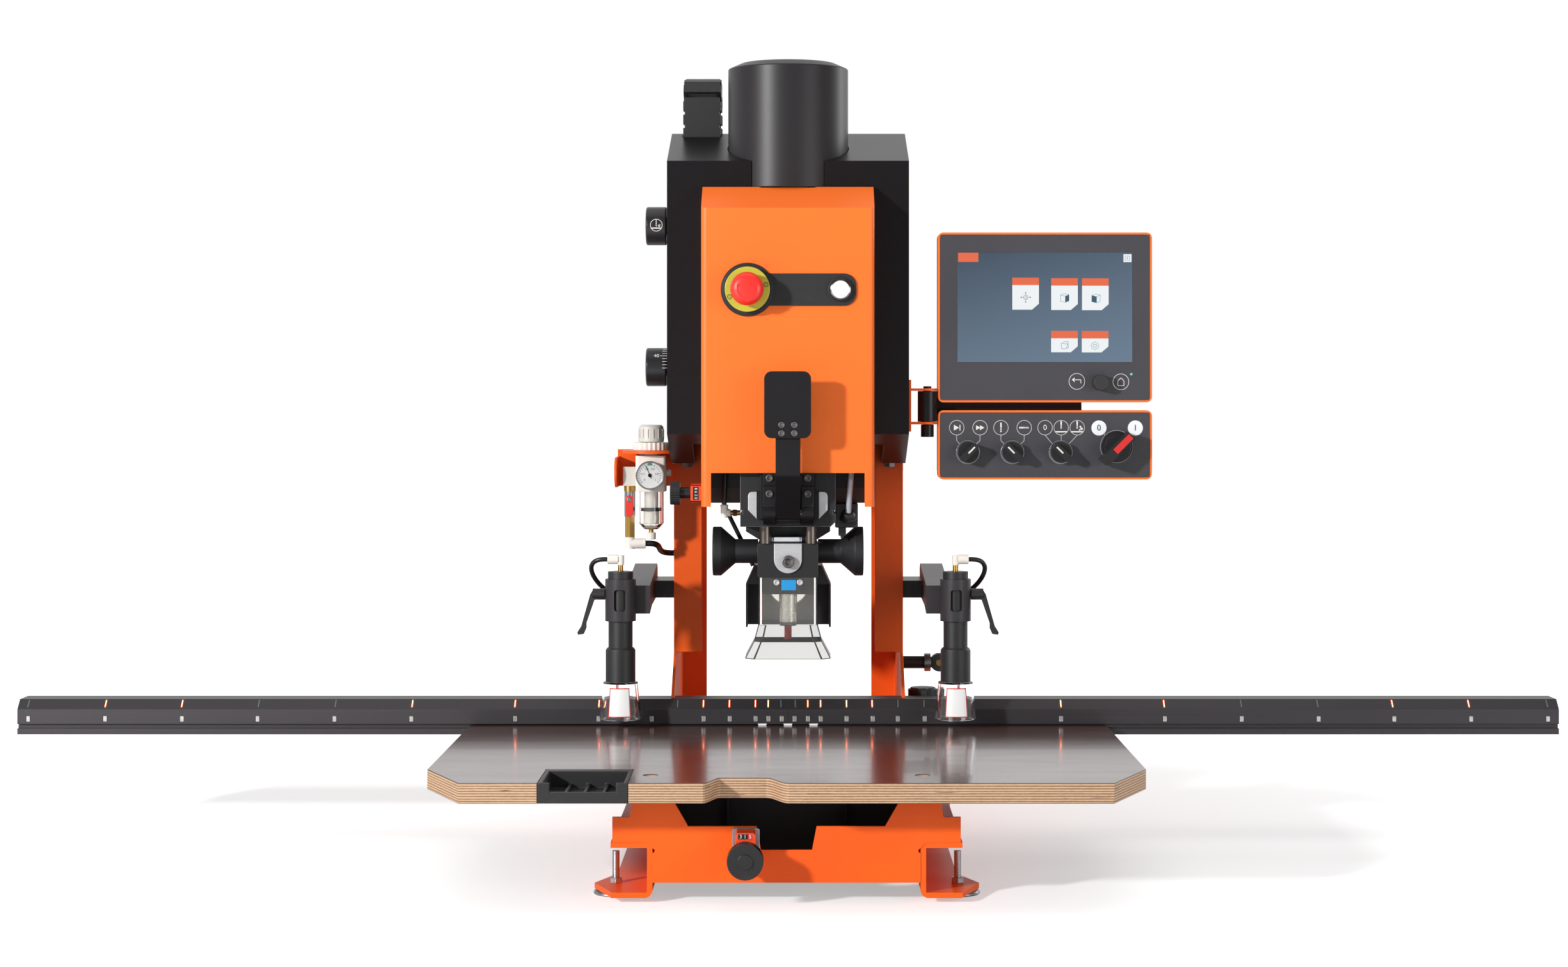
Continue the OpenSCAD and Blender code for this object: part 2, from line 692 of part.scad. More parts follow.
// Head carriage: bushed block on the lift rods, motor plate and piston rod
carriage_low = 600;
carriage_d = 25;
bush_wall = 10;
carriage_x = lift_x + rod_dia / 2 + 8;
piston_t = 12;
module head_carriage() color(dark) {
    difference() {
        union() {
            box([-carriage_x, carriage_x], [lift_y - carriage_d, lift_y + carriage_d],
                [carriage_low, carriage_top]);
            box([-gear_slot + 3, gear_slot - 3], [cap_y + motor_dia / 2 + 3, lift_y - carriage_d + 1],
                [head_plate_z, carriage_top]);
            box([-gear_slot + 3, gear_slot - 3], [cover_back, cap_y + motor_dia / 2 + 4],
                [head_plate_z, head_plate_z + head_plate_t]);
            box([-cover_x + cover_t, cover_x - cover_t], [cover_front + cover_r, cover_back],
                [head_plate_z, head_plate_z + head_plate_t]);
        }
        both_sides() rod_z(rod_dia / 2 + rod_gap, lift_x, lift_y, [carriage_low - 1, carriage_top + 1]);
    }
    rod_z(piston_rod / 2, 0, lift_y, [carriage_top - 1, lift_high - 22]);
    rod_z(lift_bore / 2 - rod_gap, 0, lift_y, [lift_high - 22 - piston_t, lift_high - 22]);
}

// Gear housing: casting with side ledges and the boss that carries the spindle block
gear_y = [fence_y - 92, fence_y + 23];
gear_low = 396;
block_z = [333, 374.5];
ledge = 16;
module gear_housing() color(dark) {
    difference() {
        plate_y(gear_y) polygon([
            [-gear_w / 2, gear_low], [gear_w / 2 - 6, gear_low], [gear_w / 2, gear_low + 6],
            [gear_w / 2, head_plate_z], [-gear_w / 2, head_plate_z]
        ]);
        both_sides() box([gear_w / 2 - 3, gear_w / 2 + 1], [gear_y[0] - 1, gear_y[1] + 1],
            [gear_low + ledge, gear_low + ledge + 4]);
        both_sides() rod_z(guide_dia / 2, guide_x, guide_y, [gear_low - 1, gear_low + 24]);
    }
    plate_y([gear_y[0] + 46, gear_y[1] - 6]) polygon([
        [-gear_w / 2 + 6, gear_low], [-gear_w / 2 + 6, gear_low - 8], [-block_w / 2 + 7, block_z[1]],
        [block_w / 2 - 7, block_z[1]], [gear_w / 2 - 6, gear_low - 8], [gear_w / 2 - 6, gear_low]
    ]);
}

// Guide rods, face plate with the arm's clamps, and the lock insert with its screw
guide_x = 28;
guide_y = gear_y[0] + 25;
face_t = 4;
face_z = [405, 439];
face_half = 48.7;
clamp_w = 16;
clamp_half = strap_w / 2 + 8;
clamp_z = [403, cover_z[0] - 0.5];
insert_w = 34;
insert_t = 3;
insert_low = 338;
pivot_y = gear_y[0] - 15;
pivot_z = 413;
module arm_clamp(x0) {
    difference() {
        union() {
            plate_x([x0, x0 + clamp_w]) polygon([
                [gear_y[0] - face_t, clamp_z[0] - 4], [gear_y[0] - face_t, clamp_z[1]],
                [gear_y[0] - face_t - 17, clamp_z[1]], [gear_y[0] - face_t - 17, clamp_z[0] + 10],
                [pivot_y, clamp_z[0]], [pivot_y + 5, clamp_z[0] - 4]
            ]);
            rod_x(10, [x0, x0 + clamp_w], pivot_y, pivot_z);
        }
        box([x0 - 1, x0 + clamp_w + 1], [gear_y[0] - face_t - 18, gear_y[0] - face_t - 8],
            [clamp_z[0] + 42, clamp_z[0] + 44]);
        rod_x(pivot_dia / 2, [x0 - 1, x0 + clamp_w + 1], pivot_y, pivot_z);
    }
    for (z = [clamp_z[0] + 32, clamp_z[0] + 52])
        socket_screw(x0 + clamp_w / 2, gear_y[0] - face_t - 17, z, 8, 3);
}
module slide_guides() color(steel) {
    both_sides() rod_z(guide_dia / 2, guide_x, guide_y, [block_z[1], gear_low + 24]);
    plate_y([gear_y[0] - face_t, gear_y[0]]) both_sides() rounded([0, face_half], face_z, 9);
    plate_y([gear_y[0] - face_t, gear_y[0]]) translate([-face_half + 9, face_z[0]])
        square([2 * face_half - 18, face_z[1] - face_z[0]]);
    both_sides_of(arm_x) arm_clamp(arm_x - clamp_half - clamp_w);
    rod_x(pivot_dia / 2, [arm_x - clamp_half - clamp_w, arm_x + clamp_half + clamp_w], pivot_y, pivot_z);
    plate_y([block_y[0] - insert_t, block_y[0]]) {
        translate([-insert_w / 2, insert_low + insert_w / 2]) square([insert_w,
            block_z[1] - insert_low - insert_w / 2]);
        translate([0, insert_low + insert_w / 2]) circle(insert_w / 2);
    }
    socket_screw(0, block_y[0] - insert_t, insert_low + insert_w * 0.4, 16, 8);
}

// Spindle block with the tool block that carries the clear guard
block_y = [spindle_y - 37.5, spindle_y + 37.5];
tool_low = 312;
tool_half = guard_w / 2 - guard_t - 0.1;
module spindle_block() color(black) difference() {
    union() {
        plate_y(block_y) rounded([-block_w / 2, block_w / 2], block_z, 2);
        translate([0, spindle_y, tool_low]) linear_extrude(block_z[0] - tool_low + 1)
            polygon(chamfered(tool_half, guard_edge));
    }
    rod_z(spindle_dia / 2 + spindle_gap, 0, spindle_y, [tool_low - 1, block_z[1] - 5]);
    both_sides() box([block_w / 2 - 1.2, block_w / 2 + 1], [spindle_y - 12, spindle_y + 12],
        [block_z[0] - 1, block_z[0] + 4]);
}

// Side handles: tube, cone and disc, turned from one bar
grip_z = 363;
grip_tube = 30;
grip_len = [28, 17, 11];
module grip_profile() {
    a = grip_len[0];
    b = a + grip_len[1];
    c = b + grip_len[2];
    polygon([
        [0, 0], [grip_tube / 2, 0], [grip_tube / 2, a],
        [grip_dia / 2 - 0.5, b], [grip_dia / 2, b + 1], [grip_dia / 2, c - 1], [grip_dia / 2 - 1, c],
        [grip_dia / 2 - 6, c], [grip_dia / 2 - 8, c - 3], [0, c - 3]
    ]);
}
module grip_handles() color(black) both_sides()
    translate([block_w / 2, spindle_y, grip_z]) rotate([0, 90, 0]) rotate_extrude() grip_profile();

// Suction hood: moulded mouth behind the fence with a neck to the spindle block and a rear spigot
hood_z = [261.5, 343];
hood_wall = 2.5;
hood_gap = 2.5;
hood_y = [fence_y + fence_d + hood_gap, fence_y + fence_d + 46];
spigot_dia = 50;
hood_x = hood_w / 2;
module hood_outline(t) {
    polygon([
        [-hood_x + t, hood_z[0] + (t > 0 ? -1 : 0)], [-hood_x + t, hood_z[1] - 27], [-hood_x + 12 + t,
            hood_z[1] - t],
        [hood_x - 12 - t, hood_z[1] - t], [hood_x - t, hood_z[1] - 27], [hood_x - t,
            hood_z[0] + (t > 0 ? -1 : 0)]
    ]);
}
module suction_hood() color(dark) difference() {
    union() {
        plate_y(hood_y) hood_outline(0);
        plate_y([block_y[1], hood_y[0] + 1]) intersection() {
            hood_outline(0);
            translate([-hood_x, hood_z[1] - 24]) square([hood_w, 24]);
        }
        rod_y(spigot_dia / 2 + hood_wall, 0, [hood_y[1] - 1, hood_y[1] + 22], hood_z[1] - 32);
    }
    plate_y([hood_y[0] - 1, hood_y[1] - hood_wall]) hood_outline(hood_wall);
    plate_y([block_y[1] + hood_wall, hood_y[0] + 1]) intersection() {
        hood_outline(hood_wall);
        translate([-hood_x, hood_z[1] - 24 + hood_wall]) square([hood_w, 24]);
    }
    rod_y(spigot_dia / 2, 0, [hood_y[1] - 5, hood_y[1] + 23], hood_z[1] - 32);
}

// Clear guard: square box round the spindle with a flared, soft foot
guard_top = block_z[0] - 0.5;
guard_z = [234, 275];
guard_mid_z = 254;
guard_mid = 0.35;
guard_edge = 2;
function chamfered(h, c) = [[h, h - c], [h - c, h], [c - h, h], [-h, h - c], [-h, c - h], [c - h, -h],
    [h - c, -h], [h, c - h]];
module flare(z_top, z_low, half_top, half_low) {
    translate([0, spindle_y, z_top]) mirror([0, 0, 1])
        linear_extrude(z_top - z_low, scale = half_low / half_top) polygon(chamfered(half_top, 8));
}
half_top = guard_w / 2;
half_low = guard_foot_w / 2;
half_mid = half_top + guard_mid * (half_low - half_top);
module guard_solid(t, e) {
    translate([0, spindle_y, guard_z[1] - e]) linear_extrude(guard_top - guard_z[1] + 2 * e)
        polygon(chamfered(half_top - t, guard_edge));
    flare(guard_z[1] + 0.01 * e, guard_mid_z, half_top - t, half_mid - t);
    flare(guard_mid_z, guard_z[0] - e, half_mid - t, half_low - t);
}
module chip_guard() color(clear) difference() {
    guard_solid(0, 0);
    guard_solid(guard_t, 1);
    box([-guard_foot_w, guard_foot_w], [fence_y - 4, fence_y + guard_foot_w], [guard_z[0] - 2, guard_z[1]]);
    box([-12, 12], [spindle_y + 20, spindle_y + guard_w], [tool_low, guard_top + 2]);
}

// Spindle with its chuck ring and a two-flute bit
sleeve_low = 276;
ring_low = 271;
bit_low = 251;
module spindle() {
    color(steel) rod_z(spindle_dia / 2, 0, spindle_y, [sleeve_low, block_z[1] - 8]);
    color(dark) rod_z(spindle_dia / 2 - 0.6, 0, spindle_y, [ring_low, sleeve_low]);
    color("crimson") translate([0, spindle_y, bit_low]) linear_extrude(ring_low - bit_low, twist = 150,
        slices = 16)
        difference() {
            circle(d = bit_dia, $fn = 24);
            for (a = [0, 180]) rotate(a) translate([bit_dia * 0.42, 0]) circle(d = bit_dia * 0.5, $fn = 16);
        }
}

// Control strip on the cover: keyhole plate, emergency-stop ring and start ring
button_z = 684;
estop_x = -48.7;
start_x = 63.7;
strip_h = 39;
strip_end = 83;
strip_t = 3;
estop_ring = 60;
estop_plate = 65;
estop_neck = 29;
start_ring = 29;
strip_y = cover_front - strip_t;
button_hole = 6;
module control_strip() {
    color(black) difference() {
        plate_y([strip_y, cover_front]) {
            translate([estop_x, button_z]) circle(d = estop_plate);
            rounded([estop_x - 20, strip_end], [button_z - strip_h / 2, button_z + strip_h / 2], 15);
        }
        for (x = [estop_x, start_x]) rod_y(button_hole, x, [strip_y - 1, cover_front + 1], button_z);
    }
    color("gold") difference() {
        rod_y(estop_ring / 2, estop_x, [strip_y - 2, strip_y], button_z);
        rod_y(button_hole, estop_x, [strip_y - 3, strip_y + 1], button_z);
    }
    color(black) difference() {
        rod_y(estop_neck / 2, estop_x, [strip_y - 15, strip_y - 2], button_z);
        rod_y(11, estop_x, [strip_y - 16, strip_y - 3], button_z);
        rod_y(button_hole, estop_x, [strip_y - 4, strip_y - 1], button_z);
    }
    color(steel) difference() {
        rod_y(start_ring / 2, start_x, [strip_y - 5, strip_y], button_z);
        rod_y(start_ring / 2 - 1.4, start_x, [strip_y - 6, strip_y + 1], button_z);
    }
}

// Emergency-stop mushroom and start button
estop_head = 40;
estop_travel = 5;
start_travel = 2.5;
module estop_button() color("red") translate([estop_x, strip_y, button_z]) rotate([90, 0, 0])
    rotate_extrude() polygon([
        [0, -9], [button_hole - control_gap, -9], [button_hole - control_gap, 8.5], [11 - control_gap, 9],
        [11 - control_gap, 22], [estop_head / 2 - 2, 15 + 2 + estop_travel], [estop_head / 2,
            24 + estop_travel],
        [estop_head / 2, 32 + estop_travel], [estop_head / 2 - 3, 37 + estop_travel],
        [estop_head / 2 - 8, 39.5 + estop_travel], [0, 40 + estop_travel]
    ]);
module start_button() color(white) translate([start_x, strip_y, button_z]) rotate([90, 0, 0])
    rotate_extrude() polygon([
        [0, -8], [button_hole - control_gap, -8], [button_hole - control_gap, start_travel],
        [start_ring / 2 - 1.7, start_travel + 0.2], [start_ring / 2 - 1.7, 6.5], [start_ring / 2 - 5,
            8], [0, 8.6]
    ]);

// Side counter on the head with its knurled knob
side_y = gear_y[0] + 8;
side_z = 437;
side_counter_w = 13;
side_shaft = 4;
module side_counter() color(orange) difference() {
    plate_x([-cover_x - side_counter_w, -cover_x]) rounded([side_y - 17, side_y + 17],
        [side_z - 11, side_z + 11], 3);
    rod_x(side_shaft + control_gap, [-cover_x - side_counter_w - 1, -cover_x + 1], side_y, side_z);
    box([-cover_x - side_counter_w + 3, -cover_x - 3], [side_y - 18, side_y - 16],
        [side_z - 8, side_z + 8]);
}
module side_knob() color(black) {
    x = -cover_x - side_counter_w - 0.3;
    translate([x - 13, side_y, side_z]) rotate([0, -90, 0]) knurled(side_knob_dia / 2, 12, 30, 0.8);
    rod_x(6.8, [x - 14, x], side_y, side_z);
    rod_x(side_shaft, [x - 1, -cover_x + 8], side_y, side_z);
}

// Depth dials: turret stops on the left side of the casing
dial_y = fence_y + 20;
dial_z = [591, 768];
dial_h = 25;
dial_neck = 23;
dial_shaft = 6;
module dial(z) color(black) translate([-casing_x, dial_y, z]) rotate([0, -90, 0]) rotate_extrude() polygon([
    [0, -14], [dial_shaft, -14], [dial_shaft, 0.3], [dial_neck / 2, 0.3], [dial_neck / 2, 3.5],
    [dial_dia / 2 - 1, 3.5], [dial_dia / 2, 4.5], [dial_dia / 2, 2.5 + dial_h],
    [dial_dia / 2 - 1.5, 4 + dial_h], [dial_dia / 2 - 5, 4 + dial_h],
    [dial_dia / 2 - 6, 2.5 + dial_h], [0, 2.5 + dial_h]
]);
module dial_lower() dial(dial_z[0]);
module dial_upper() dial(dial_z[1]);

// Insertion arm: barrel on the pivot pin, bent strap and face plate
arm_front = gear_y[0] - 64;
plate_low_z = pivot_z + 92;
plate_z = [plate_low_z, plate_low_z + arm_plate_h];
barrel_r = 9;
barrel_gap = 0.5;
arm_plate_t = 6;
module insertion_arm() color(black) difference() {
    union() {
        plate_x([arm_x - strap_w / 2, arm_x + strap_w / 2]) polygon([
            [arm_front + arm_plate_t, plate_z[1] - 25], [arm_front + arm_plate_t, plate_z[0] - 43],
            [pivot_y - barrel_r + 1, pivot_z - 4], [pivot_y + barrel_r - 3, pivot_z + 6],
            [arm_front + arm_plate_t + strap_t, plate_z[0] - 38],
            [arm_front + arm_plate_t + strap_t, plate_z[1] - 25]
        ]);
        plate_y([arm_front, arm_front + arm_plate_t])
            rounded([-arm_plate_w / 2, arm_plate_w / 2], plate_z, 9);
        rod_x(barrel_r, [arm_x - strap_w / 2, arm_x + strap_w / 2], pivot_y, pivot_z);
        both_sides_of(arm_x) rod_x(barrel_r - 1, [arm_x - clamp_half + barrel_gap, arm_x], pivot_y,
            pivot_z);
    }
    rod_x(pivot_dia / 2 + pivot_gap, [arm_x - clamp_half, arm_x + clamp_half], pivot_y, pivot_z);
    for (x = [arm_x - 8.5, arm_x + 8.5], z = [plate_z[0] + 6, plate_z[0] + 17])
        rod_y(3, x, [arm_front - 1, arm_front + 3], z);
}

// Drag chain: links that rise out of the casing and bend back over the head's travel
chain_x = -110;
chain_y = fence_y + 80;
chain_w = 48;
link_h = 22;
link_t = 20;
link_pitch = 17;
chain_arc = 32;
module link(w, l) {
    difference() {
        box([-w / 2, w / 2], [-link_t / 2, link_t / 2], [0, l]);
        box([-w / 2 + 5, w / 2 - 5], [-link_t / 2 + 4, link_t / 2 - 4], [-1, l + 1]);
        both_sides() box([w / 2 - 2, w / 2 + 1], [-link_t / 2 - 1, link_t / 2 + 1], [l - 5, l + 1]);
    }
}
chain_rise = casing_top - 6;
module drag_chain() color(black) translate([chain_x, chain_y, chain_rise]) {
    for (i = [0:1]) translate([0, 0, i * link_pitch]) link(chain_w, link_pitch);
    for (i = [0:4]) translate([0, chain_arc, 2 * link_pitch]) rotate([-36 * i, 0, 0])
        translate([0, -chain_arc, 0]) link(chain_w, link_pitch);
    translate([0, 2 * chain_arc, 2 * link_pitch]) rotate([180, 0, 0]) {
        link(chain_w, link_pitch);
        translate([0, 0, link_pitch]) link(chain_w, link_pitch);
    }
}

// Hold-down arms: bar out of each column, forward arm and clamp collar
hold_y = fence_y - 35;
hold_bar_y = [column_y + 8, column_y + 88];
hold_bar_z = [295, 317];
arm_in = hold_x - 36;
arm_out = hold_x - 7;
collar_top = collar_z + collar_h;
module hold_down_arms() color(black) both_sides() difference() {
    union() {
        box([column_x, arm_in + 1], hold_bar_y, hold_bar_z);
        plate_x([arm_in, arm_out]) polygon([
            [hold_y + 8, collar_z + 8], [hold_y + 8, collar_top - 9], [hold_y + 188, collar_top + 7],
            [hold_y + 198, collar_top + 1], [hold_y + 198, hold_bar_z[0]], [hold_y + 60, hold_bar_z[0] - 3]
        ]);
        rod_z(collar_dia / 2, hold_x, hold_y, [collar_z, collar_top]);
    }
    rod_z(hold_dia / 2 + 0.1, hold_x, hold_y, [collar_z - 1, collar_top + 1]);
    plate_y([hold_y - collar_dia, hold_y]) rounded([hold_x - 6.8, hold_x + 6.8],
        [collar_z + 13, collar_z + 39], 3);
    rod_x(lever_screw + control_gap, [hold_x + hold_dia / 2, hold_x + collar_dia / 2 + 1], hold_y, lever_z);
}

// Hold-down cylinders: barrel, cap, air elbow
cap_h = 9;
barrel_foot = 206;
module hold_down_cylinders() both_sides() {
    color(black) rod_z(hold_dia / 2, hold_x, hold_y, [barrel_foot, collar_top + 1]);
    color(black) rod_z(hold_dia / 2 + 0.6, hold_x, hold_y, [collar_top, collar_top + cap_h]);
    color(brass) rod_z(3.4, hold_x, hold_y, [collar_top + cap_h, collar_top + cap_h + 9]);
    color(white) {
        rod_z(4.5, hold_x, hold_y, [collar_top + cap_h + 8, elbow_z + 5]);
        rod_x(6, [hold_x + 3, hold_x + 16], hold_y, elbow_z);
    }
}
elbow_z = collar_top + cap_h + 15;

// Clamp levers on the collars
lever_z = collar_z + 33;
lever_screw = 3;
lever_hub = 7;
lever_len = 50;
module clamp_lever() color(black) translate([hold_x + collar_dia / 2 + 0.3, hold_y, lever_z]) {
    rod_x(lever_screw, [-3.8, 1], 0, 0);
    rod_x(lever_hub, [0, 15], 0, 0);
    plate_y([-5, 5]) polygon([
        [3, -5], [15, 5], [18, 0], [29, -lever_len + 11], [34, -lever_len + 3], [33, -lever_len],
        [26, -lever_len + 1], [23, -lever_len + 8], [23, -lever_len + 14], [13, -7]
    ]);
}
module lever_right() clamp_lever();
module lever_left() mirror([1, 0, 0]) clamp_lever();

// Plungers: sleeve on the cylinder with a clear pressure cone
sleeve_z = [202, 244];
cone_z = 156;
cone_dia = [42.5, 51.6];
cone_wall = 2;
module plunger() translate([hold_x, hold_y, 0]) {
    color(black) difference() {
        union() {
            rod_z(sleeve_dia / 2, 0, 0, [sleeve_z[0], sleeve_z[1] - 3]);
            translate([0, 0, sleeve_z[1] - 3]) cylinder(h = 3, r1 = sleeve_dia / 2,
                r2 = sleeve_dia / 2 - 2);
        }
        rod_z(hold_dia / 2 + sleeve_gap, 0, 0, [barrel_foot - 0.3, sleeve_z[1] + 1]);
    }
    color(clear) rotate_extrude() polygon([
        [0, sleeve_z[0]], [cone_dia[0] / 2, sleeve_z[0]], [cone_dia[1] / 2, cone_z + 3],
            [cone_dia[1] / 2, cone_z],
        [cone_dia[1] / 2 - cone_wall, cone_z], [cone_dia[0] / 2 - cone_wall, sleeve_z[0] - cone_wall],
        [6, sleeve_z[0] - cone_wall], [6, cone_z + 8], [0, cone_z + 8]
    ]);
}
module plunger_right() plunger();
module plunger_left() mirror([1, 0, 0]) plunger();

// Support rod on the right column: bar, silver collar and black eye
support_y = column_y + 20;
support_z = 211;
module support_rod() {
    color(black) rod_x(8, [column_x, column_x + 28], support_y, support_z);
    color(steel) rod_x(11.8, [column_x + 28, column_x + 36], support_y, support_z);
    color(black) {
        rod_x(7, [column_x + 36, column_x + 40], support_y, support_z);
        rod_y(11.5, column_x + 47, [support_y - 7, support_y + 7], support_z);
    }
    color(brass) rod_y(4, column_x + 47, [support_y - 9, support_y + 9], support_z);
}

// Fence clamp: knurled knob over a bracket on the back of the fence
clamp_x = column_x + 24.5;
clamp_y = fence_y + fence_d + 26;
clamp_neck_z = fence_top - 15;
module clamp_knob() color(black) {
    translate([clamp_x, clamp_y, clamp_neck_z + 7]) knurled(clamp_dia / 2, 14, 32, 0.8);
    rod_z(8.3, clamp_x, clamp_y, [clamp_neck_z + 0.3, clamp_neck_z + 8]);
    rod_z(clamp_dia / 2 - 3, clamp_x, clamp_y, [clamp_neck_z + 20, clamp_neck_z + 23]);
    rod_z(clamp_screw, clamp_x, clamp_y, [clamp_neck_z - 14, clamp_neck_z + 1]);
}
clamp_screw = 4;
module clamp_bracket() difference() {
    box([clamp_x - 18, clamp_x + 18], [fence_y + fence_d, clamp_y + 16], [clamp_neck_z - 16, clamp_neck_z]);
    rod_z(clamp_screw + control_gap, clamp_x, clamp_y, [clamp_neck_z - 17, clamp_neck_z + 1]);
}

// Panel bracket, swivel arm and the two panels
panel_x0 = casing_x + 37;
panel_y = fence_y - 20;
display_low = casing_foot + 78;
switch_low = casing_foot - 18;
display_z = [display_low, display_low + panel_h];
switch_z = [switch_low, switch_low + switch_h];
panel_back = panel_y + panel_d;
swivel_x = casing_x + 24;
swivel_y = panel_y + 3;
swivel_r = panel_x0 - swivel_x - 1;
arm_z = [casing_foot + 54, casing_foot + 92];
tab_t = 3;
swivel_pin = 5;
module panel_bracket() color(orange) {
    box([casing_x, casing_x + tab_t], [swivel_y - 26, swivel_y + 24], [arm_z[0] - 12, arm_z[1] + 14]);
    for (z = [arm_z[0] - tab_t - 0.3, arm_z[1] + 0.3])
        difference() {
            union() {
                box([casing_x + 1, swivel_x], [swivel_y - swivel_r, swivel_y + swivel_r], [z, z + tab_t]);
                rod_z(swivel_r, swivel_x, swivel_y, [z, z + tab_t]);
            }
            rod_z(swivel_pin + 0.2, swivel_x, swivel_y, [z - 1, z + tab_t + 1]);
        }
}
module panel_arm() color(black) {
    translate([0, 0, arm_z[0]]) linear_extrude(arm_z[1] - arm_z[0]) {
        translate([swivel_x, swivel_y]) circle(swivel_r);
        polygon([
            [swivel_x - 8, swivel_y + 2], [swivel_x + 8, swivel_y - 6], [panel_x0 - 1, swivel_y + 2],
            [panel_x0 - 1, panel_back], [panel_x0 + 181, panel_back], [panel_x0 + 181, panel_back + 22],
            [panel_x0 + 8, panel_back + 22], [swivel_x - 8, swivel_y + 8]
        ]);
    }
    rod_z(swivel_pin, swivel_x, swivel_y, [arm_z[0] - tab_t - 3, arm_z[1] + tab_t + 3]);
    rod_z(8, swivel_x, swivel_y, [arm_z[0] - tab_t - 16, arm_z[0] - tab_t - 0.6]);
    for (z = [[switch_z[1] - 18, arm_z[0] + 1], [arm_z[1] - 1, display_z[0] + 25]])
        box([panel_x0 + 60, panel_x0 + 160], [panel_back, panel_back + 4], z);
}
panel_r = 7;
frame_w = 2.5;
module panel_body(z) difference() {
    plate_y([panel_y + 1, panel_back]) rounded([panel_x0, panel_x0 + panel_w], z, panel_r);
    plate_y([panel_y, panel_y + 4])
        rounded([panel_x0 + frame_w, panel_x0 + panel_w - frame_w], [z[0] + frame_w, z[1] - frame_w],
            panel_r - frame_w);
}
module panel_face(z) plate_y([panel_y + 2, panel_y + 4])
    rounded([panel_x0 + frame_w, panel_x0 + panel_w - frame_w], [z[0] + frame_w, z[1] - frame_w],
        panel_r - frame_w);
face_y = panel_y + 2;
screen_x = panel_x0 + 24.5;
screen_z = display_z[1] - 25;
encoder_x = panel_x0 + panel_w - 65;
encoder_z = display_z[0] + 24.5;
control_shaft = 4;
module display_panel() difference() {
    union() {
        color(orange) panel_body(display_z);
        color(black) panel_face(display_z);
        color("slategray") box([screen_x, screen_x + screen_w], [face_y - 0.6, face_y + 1],
            [screen_z - screen_h, screen_z]);
    }
    rod_y(control_shaft + control_gap, encoder_x, [face_y - 1, face_y + 12], encoder_z);
}
selector_x = [panel_x0 + 37.4, panel_x0 + 92.6, panel_x0 + 152.6];
selector_z = switch_z[0] + 34;
main_x = panel_x0 + panel_w - 44;
main_z = switch_z[0] + 41;
main_dia = 39;
module switch_panel() difference() {
    union() {
        color(orange) panel_body(switch_z);
        color(black) panel_face(switch_z);
        color(steel) for (x = selector_x) rod_y(switch_dia / 2, x, [face_y - 2, face_y + 1], selector_z);
        color(black) rod_y(main_dia / 2, main_x, [face_y - 6, face_y + 1], main_z);
    }
    for (x = selector_x) rod_y(control_shaft + control_gap, x, [face_y - 3, face_y + 12], selector_z);
    rod_y(control_shaft + control_gap, main_x, [face_y - 7, face_y + 12], main_z);
}
module encoder_knob() color(black) {
    rod_y(9.8, encoder_x, [face_y - 20, face_y - 0.4], encoder_z);
    rod_y(control_shaft, encoder_x, [face_y - 1, face_y + 10], encoder_z);
}
selector_turn = 45;
module selector(x, turn) color(black) translate([x, face_y - 2.3, selector_z]) rotate([0, turn, 0]) {
    rotate([90, 0, 0]) cylinder(h = 10, r = switch_dia / 2 - 1.5);
    rotate([90, 0, 0]) linear_extrude(24) rounded([-4.5, 4.5],
        [-switch_dia / 2 + 1, switch_dia / 2 - 1], 3);
    rod_y(control_shaft, 0, [-1, 11], 0);
}
module selector_1() selector(selector_x[0], selector_turn);
module selector_2() selector(selector_x[1], -selector_turn);
module selector_3() selector(selector_x[2], -selector_turn);
module main_switch() translate([main_x, face_y - 6.3, main_z]) rotate([0, selector_turn, 0]) {
    color(black) {
        rotate([90, 0, 0]) cylinder(h = 8, r = main_dia / 2 - 3);
        box([-6, 6], [-32, -1], [-27, 21]);
        rod_y(control_shaft, 0, [-2, 14], 0);
    }
    color("red") box([-4, 4], [-34, -31], [-8, 19]);
}

// Air bracket: folded orange sheet on the left column that holds the regulator
reg_x = -column_x - 26.5;
reg_y = column_y - 47;
reg_top = casing_foot + 13;
bracket_t = 3;
bracket_low = reg_top - 43;
bracket_y = column_y + 2;
bracket_x0 = reg_x - 45.5;
reg_neck = 15;
module air_bracket() color(orange) {
    box([bracket_x0, -casing_x], [bracket_y, bracket_y + bracket_t], [bracket_low, reg_top + 4]);
    box([-casing_x - 1, -column_x], [bracket_y, bracket_y + bracket_t], [bracket_low, casing_foot - 1]);
    difference() {
        translate([0, 0, reg_top]) linear_extrude(4) {
            translate([reg_x, reg_y]) circle(36);
            translate([reg_x - 30, reg_y]) square([-casing_x - reg_x + 29, bracket_y - reg_y + 1]);
        }
        rod_z(reg_neck + 0.1, reg_x, reg_y, [reg_top - 1, reg_top + 5]);
        box([-casing_x, -column_x + 10], [fence_y, bracket_y + 20], [reg_top - 1, reg_top + 5]);
    }
    plate_x([bracket_x0, bracket_x0 + bracket_t]) {
        translate([reg_y - 4, bracket_low]) square([bracket_y - reg_y + 4, 38]);
        translate([reg_y - 4, bracket_low + 19]) circle(19);
    }
}

